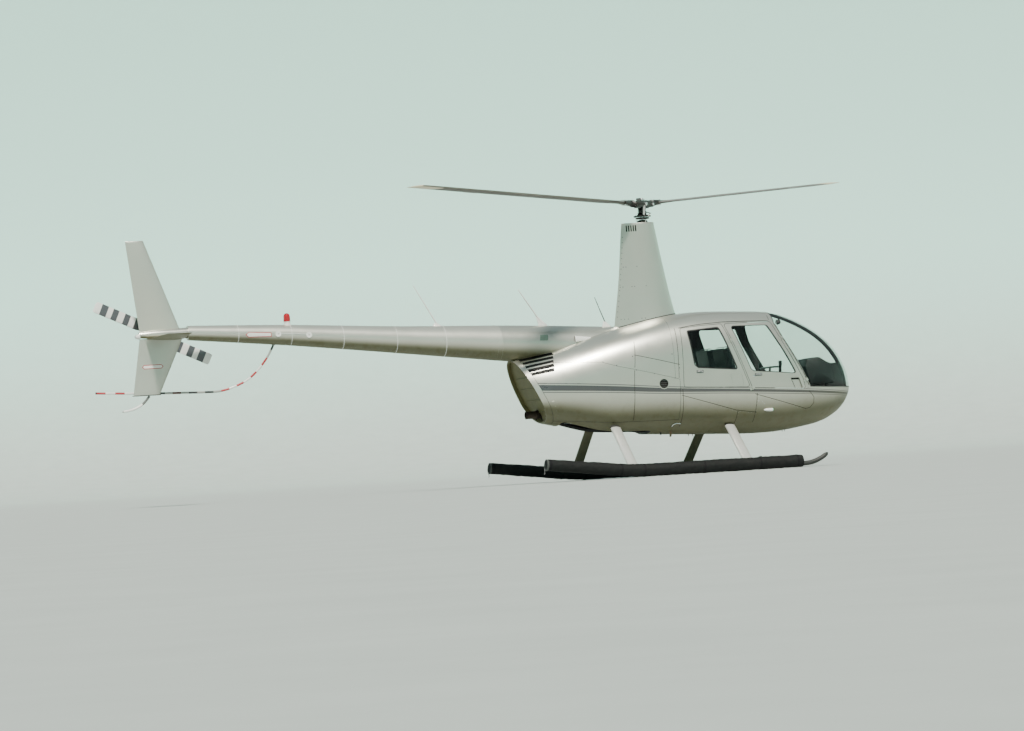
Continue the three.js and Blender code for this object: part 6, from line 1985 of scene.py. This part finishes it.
def edge_cord(size, centre, tilt, z, r=4.0):
    """The piping that runs round a cushion's edge."""
    o = rounded([(-size[0] / 2, -size[1] / 2), (size[0] / 2, -size[1] / 2), (size[0] / 2, size[1] / 2), (-size[0] / 2, size[1] / 2)], 52, 9)
    p = np.array([(x, y, z) for x, y in o])
    t_ = np.roll(p, -1, 0) - np.roll(p, 1, 0)
    t_ /= np.linalg.norm(t_, axis=1)[:, None]
    rings = []
    for i in range(len(p)):
        n_ = np.cross(t_[i], (0, 0, 1.0))
        rings.append([p[i] + r * (math.cos(a_) * n_ + math.sin(a_) * np.array([0, 0, 1.0])) for a_ in np.linspace(0, 2 * np.pi, 8, endpoint=False)])
    me = rings_mesh(rings, closed=True)
    me.transform(Matrix.Translation(centre) @ Matrix.Rotation(tilt, 4, "Y"))
    return me


PADS = (
    # name, bottom centre, size, tilt; back centre, size, tilt; cap on the swelling
    ("front", (1046, 280, 944), (470, 412, 82), -0.04, (822, 280, 1226), (468, 412, 92), 1.411, 14),
    ("rear", (362, 276, 971), (396, 500, 78), -0.04, (186, 276, 1238), (436, 500, 88), 1.466, 14),
)
for which, bc, bs, bt, kc, ks, kt, bulge in PADS:
    bottom = pad(which, bc, bs, bt, bulge, 1.3 if which == "front" else 2.9)
    back_ = pad(which, kc, ks, kt, bulge, 4.1 if which == "front" else 5.2)
    bottoms = {"left": bottom, "right": mirrored(bottom)}
    backs = {"left": back_, "right": mirrored(back_)}
    for side_name, s in SIDES:
        m1, m2 = bottoms[side_name].copy(), backs[side_name].copy()
        put(f"{which}_cushion_{side_name}", m1, "seat", replaces=[f"{which}_seat_{side_name}"], angle=70)
        put(f"{which}_backrest_{side_name}", m2, "seat", angle=70)
        cords = [edge_cord((bs[0] - 6, bs[1] - 6), (bc[0], bc[1] * s, bc[2]), bt, 8), edge_cord((ks[0] - 6, ks[1] - 6), (kc[0], kc[1] * s, kc[2]), kt, 8)]
        put(f"{which}_piping_{side_name}", merged(cords), "piping")
        # the shell behind the backrest
        sh = block((0, 0, 0), (ks[0] - 20, ks[1] - 24, 10), None, 4)
        sh.transform(Matrix.Translation((kc[0], kc[1] * s, kc[2])) @ Matrix.Rotation(kt, 4, "Y") @ Matrix.Translation((0, 0, -ks[2] / 2 - 5)))
        put(f"{which}_seat_shell_{side_name}", sh, "console")
        # lap belt laid over the cushion and a shoulder belt down the backrest
        y0 = bc[1] * s
        flat = [(0.08, 1), (-0.08, 1), (-0.08, -1), (0.08, -1)]
        x_seat = bc[0] - bs[0] / 2
        for j, (ya, yb) in enumerate(((y0 - s * (bs[1] / 2 - 26), y0 - s * 22), (y0 + s * (bs[1] / 2 - 26), y0 + s * 26))):
            ground = [(x_seat + 96 + 92 * t, ya + (yb - ya) * t, bc[2] + 90) for t in np.linspace(0, 1, 16)]
            path_ = laid(bottoms[side_name], ground, (0, 0, -1))
            put(f"{which}_lap_belt_{j}_{side_name}", along(path_, 23, 4, hint=(0, 0, 1), shape=flat), "webbing")
        end = laid(bottoms[side_name], [(x_seat + 192, y0, bc[2] + 90)], (0, 0, -1), 7)[0]
        put(f"{which}_buckle_{side_name}", block(end, (44, 58, 13), None, 4), "bright")
        out_d = Matrix.Rotation(kt, 3, "Y") @ Vector((0, 0, 1))
        start = [Matrix.Translation((kc[0], kc[1] * s, kc[2])) @ Matrix.Rotation(kt, 4, "Y") @ Vector((d_, s * (150 - (ks[0] / 2 - d_) * 0.22), 90)) for d_ in np.linspace(-ks[0] / 2 + 26, ks[0] * 0.42, 18)]
        path_ = laid(backs[side_name], start, -out_d)
        put(f"{which}_shoulder_belt_{side_name}", along(path_, 23, 4, hint=(0, 1, 0), shape=[(1, 0.07), (1, -0.07), (-1, -0.07), (-1, 0.07)]), "webbing")

# console: pedestal, hood with a rounded cowl, dials facing the seats
ped = boolean(prism_y(rounded([[1905, 604], [2112, 604], [2190, 1000], [1966, 1000]], 16), -82, 82, 0), slab(2130, 2300, -200, 200, 500, 1100))
hood_rings = []
for y, k_ in ((-189, 0.90), (-182, 0.965), (-165, 0.995), (-90, 1.0), (90, 1.0), (165, 0.995), (182, 0.965), (189, 0.90)):
    o = rounded([[1908, 962], [2230, 968], [2186, 1196], [2040, 1288], [1884, 1268], [1853, 1180]], [26, 40, 46, 60, 34, 20], 6)
    c_ = np.array([2040.0, 1120.0])
    hood_rings.append([(c_[0] + (x - c_[0]) * k_, y, c_[1] + (z - c_[1]) * k_) for x, z in o])
hood = both(rings_mesh(hood_rings), CABIN)
put("instrument_hood", cleaned(merged([hood])), "console", replaces=["instrument_console"], angle=40)
put("instrument_pedestal", both(ped, CABIN), "console")
nose_cover = both(prism_y(rounded([[2150, 872], [2560, 872], [2560, 1216], [2182, 1206], [2110, 1236]], 14), -170, 170, 0), offset(66, 0, (2, 2)))
put("console_nose_cover", cleaned(nose_cover), "console", angle=40)
pa, pb = np.array([1916.0, 0, 975.0]), np.array([1862.0, 0, 1190.0])
up_p = (pb - pa) / np.linalg.norm(pb - pa)
n_p = np.array([-up_p[2], 0, up_p[0]])
rot_p = np.stack([np.array([0, 1.0, 0]), up_p, n_p], 1)
centre_p = (pa + pb) / 2 + n_p * 2
put("instrument_panel", block(centre_p, (350, 196, 6), rot_p, 2), "black")
bezels, faces_, marks = [], [], []
for i, (y, q) in enumerate([(-120, 48), (-42, 48), (42, 48), (120, 48), (-120, -34), (-42, -34), (42, -34), (120, -34)]):
    c_ = centre_p + rot_p @ np.array((y, q, 3.0))
    bezels.append(boolean(turned(c_, n_p, [(0, 37), (5, 37), (7, 34), (7, 2)], 32), turned(c_ + n_p * 3, n_p, [(0, 31), (10, 31)], 32)))
    faces_.append(turned(c_ + n_p * 2.2, n_p, [(0, 30.5), (1.2, 30.5), (1.3, 2)], 32))
    a0 = 0.7 + i * 0.9
    marks.append(block(c_ + n_p * 4.4 + rot_p @ np.array((math.cos(a0) * 9, math.sin(a0) * 9, 0)), (22, 2.2, 0.8), rot_p @ np.array([[math.cos(a0), -math.sin(a0), 0], [math.sin(a0), math.cos(a0), 0], [0, 0, 1]]), 0.3))
    for t_ in np.linspace(0, 2 * np.pi, 12, endpoint=False):
        marks.append(block(c_ + n_p * 3.9 + rot_p @ np.array((math.cos(t_) * 26, math.sin(t_) * 26, 0)), (5, 1.4, 0.6), rot_p @ np.array([[math.cos(t_), -math.sin(t_), 0], [math.sin(t_), math.cos(t_), 0], [0, 0, 1]]), 0.2))
put("dial_bezels", merged(bezels), "console")
put("dial_faces", merged(faces_), "black")
put("dial_marks", merged(marks), "white")
stack = [block((1938 + dz * 0.28, 0, 640 + dz), (8, 128, 44), None, 2) for dz in (40, 92, 144, 196, 248)]
put("radio_stack", merged(stack), "black")
knobs = [turned((1932 + dz * 0.28, y, 640 + dz), (-1, 0, 0.2), [(0, 8), (11, 7), (12, 1)], 14) for dz in (40, 92, 144, 196, 248) for y in (-48, 48)]
put("radio_knobs", merged(knobs), "knob")

# controls
stick = [turned((1440, 0, 600), (40, 0, 590), [(0, 40), (8, 38), (22, 24), (28, 16), (300, 14), (588, 13), (600, 18), (604, 12)], 20), along(smooth_path([(1480, -330, 1190), (1482, -200, 1196), (1481, 0, 1198), (1482, 200, 1196), (1480, 330, 1190)], 26), 11, 14)]
put("cyclic_column", merged(stick), "steel", replaces=["cyclic_stick"])
grips = []
for s in (1, -1):
    grips.append(turned((1478, s * 330, 1132), (10, 0, 132), [(0, 11), (3, 16), (20, 18), (48, 16.5), (80, 19), (104, 19), (120, 21), (130, 18), (133, 8)], 20))
    grips.append(turned((1503, s * 330, 1228), (1, 0, 0.1), [(0, 7), (4, 7), (6, 4)], 12))
put("cyclic_grips", merged(grips), "knob")
levers = []
for s in (1, -1):
    levers.append(rod((960, s * 48, 905), (1270, s * 50, 1010), 12, sides=16, bevel=2))
put("collective_tubes", merged(levers), "steel")
put("collective_grips", merged([turned((1225, s * 49.7, 995), (310, 0, 105), [(0, 13), (3, 17), (90, 17), (100, 20), (122, 20), (126, 12)], 18) for s in (1, -1)]), "knob")
for side_name, s in SIDES:
    ped_ = [rod((1860, s * 105, 660), (1860, s * 335, 660), 11, sides=14, bevel=2)]
    pads_ = []
    for y in (140, 290):
        rings = [[(1858 + dx + h_ * 0.16, s * y + dy, 655 + h_) for dx, dy in ((-5, -34), (5, -34), (5, 34), (-5, 34))] for h_ in (0, 40, 90, 128)]
        ped_.append(rings_mesh(rings))
        pads_.append(block((1871, s * y, 745), (6, 74, 82), None, 2.5))
        ped_.append(rod((1860, s * y, 660), (1905, s * y, 606), 8, sides=10))
    put(f"pedal_set_{side_name}", merged(ped_), "alu", replaces=[f"pedals_{side_name}"])
    put(f"pedal_pads_{side_name}", merged(pads_), "knob")

# compass on the windshield bow
hit = SKIN.ray((1640, 0, 3500), (0, 0, -1))
if hit is not None:
    p, n = hit
    c_ = p - n * 62
    put("compass_case", merged([turned(c_ + np.array([-24, 0, -12]), (1, 0, 0.3), [(0, 22), (6, 30), (42, 30), (50, 24)], 8), rod(c_, p - n * (WALL - 2), 9, sides=12)]), "black")
    put("compass_glass", turned(c_ + np.array([-24.5, 0, -12.5]), (-1, 0, -0.3), [(0, 20), (3, 18), (4, 2)], 24), "lens")


# ------------------------------------------------------------------ floor, light and camera
def flat_floor():
    g = Graph("studio_floor", roughness=0.85)
    n = g.noise(2.0, 5, 0.6)
    col = g.mix(g.map(n, 0.3, 0.7), (0.43, 0.47, 0.45), (0.47, 0.51, 0.49))
    col = g.mix(g.map(g.xyz()[2], 0.0, 7.0, 0.0, 1.0, "SMOOTHSTEP"), col, (0.46, 0.74, 0.66))
    x, y, z = g.xyz()
    unlit = g.map(g.math("MULTIPLY_ADD", x, 0.00269, g.math("MULTIPLY", y, 0.01153)), 0.0, 1.0, 1.0, 0.0)
    glow = g.math("MULTIPLY", g.math("MULTIPLY", unlit, g.map(z, 0.0, 7.0, 0.0, 1.0, "SMOOTHSTEP")), 0.42)
    g.set(base_color=col, normal=g.bump(g.noise(90.0, 3, 0.6), 0.05, 0.001), emission_color=(0.46, 0.74, 0.66), emission_strength=glow)
    return g.m


def backdrop():
    """The floor runs back and curves up into a far wall, on every side."""
    a = np.linspace(0, 2 * np.pi, 96, endpoint=False)
    rings = []
    for r, z in ((8, 0), (20, 0), (40, 0), (70, 0), (74, 0.1), (77, 0.35), (80, 0.9), (83, 1.9), (85.5, 3.2), (87.5, 4.9), (89.2, 7.2), (90.5, 10), (91.4, 14), (91.9, 19), (92, 26)):
        rings.append(np.stack([np.cos(a) * r, np.sin(a) * r, np.full(96, z)], 1))
    v = [(0, 0, 0)] + np.concatenate(rings).tolist()
    f = [[0, 1 + i, 1 + (i + 1) % 96] for i in range(96)]
    for k in range(len(rings) - 1):
        for i in range(96):
            j = (i + 1) % 96
            f.append([1 + k * 96 + i, 1 + k * 96 + j, 1 + (k + 1) * 96 + j, 1 + (k + 1) * 96 + i][::-1])
    me = bpy.data.meshes.new("studio")
    me.from_pydata(v, [], f)
    me.materials.append(flat_floor())
    me.polygons.foreach_set("use_smooth", np.ones(len(f), bool))
    o = bpy.data.objects.new("studio", me)
    bpy.context.scene.collection.objects.link(o)
    return o


studio = backdrop()
studio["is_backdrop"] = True


sun = bpy.data.lights.new("sun", "SUN")
sun.energy, sun.angle, sun.color = 5.8, math.radians(6), (1.0, 0.955, 0.86)
sun_o = bpy.data.objects.new("sun", sun)
sun_o.rotation_mode = "QUATERNION"
sun_o.rotation_quaternion = (-Vector((-0.14, -0.60, 0.79))).to_track_quat("-Z", "Y")
bpy.context.scene.collection.objects.link(sun_o)

world = bpy.data.worlds.new("sky")
bpy.context.scene.world = world
world.use_nodes = True
wt = world.node_tree
wt.nodes.clear()
w_out, w_bg = wt.nodes.new("ShaderNodeOutputWorld"), wt.nodes.new("ShaderNodeBackground")
w_tc, w_sep = wt.nodes.new("ShaderNodeTexCoord"), wt.nodes.new("ShaderNodeSeparateXYZ")
ramp = wt.nodes.new("ShaderNodeValToRGB")
ramp.color_ramp.elements[0].position, ramp.color_ramp.elements[0].color = 0.40, (0.20, 0.22, 0.17, 1)
ramp.color_ramp.elements[1].position, ramp.color_ramp.elements[1].color = 1.0, (0.44, 0.60, 0.64, 1)
mid_ = ramp.color_ramp.elements.new(0.55)
mid_.color = (0.74, 0.86, 0.82, 1)
shift_ = wt.nodes.new("ShaderNodeMath")
shift_.operation, shift_.inputs[1].default_value, shift_.inputs[2].default_value = "MULTIPLY_ADD", 0.5, 0.5
wt.links.new(w_tc.outputs["Generated"], w_sep.inputs[0])
wt.links.new(w_sep.outputs[2], shift_.inputs[0])
wt.links.new(shift_.outputs[0], ramp.inputs[0])
wt.links.new(ramp.outputs[0], w_bg.inputs[0])
w_bg.inputs[1].default_value = 0.62
wt.links.new(w_bg.outputs[0], w_out.inputs[0])

AZ, ROLL, FAR = 0.3141, -0.0611, 54.31
LOOK = Vector((-1.7135 + SHIFT, 0, 1.3829))
eye = Vector((LOOK.x - FAR * math.sin(AZ), -FAR * math.cos(AZ), 0.22))
cam = bpy.data.cameras.new("camera")
cam.sensor_width, cam.lens, cam.clip_end = 36, 4683.7 / 1024 * 36, 1000
camera = bpy.data.objects.new("camera", cam)
camera.location = eye
camera.rotation_mode = "QUATERNION"
camera.rotation_quaternion = (LOOK - eye).to_track_quat("-Z", "Y") @ Matrix.Rotation(ROLL, 3, "Z").to_quaternion()
bpy.context.scene.collection.objects.link(camera)
bpy.context.scene.camera = camera

low, high = [list(v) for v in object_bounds()]
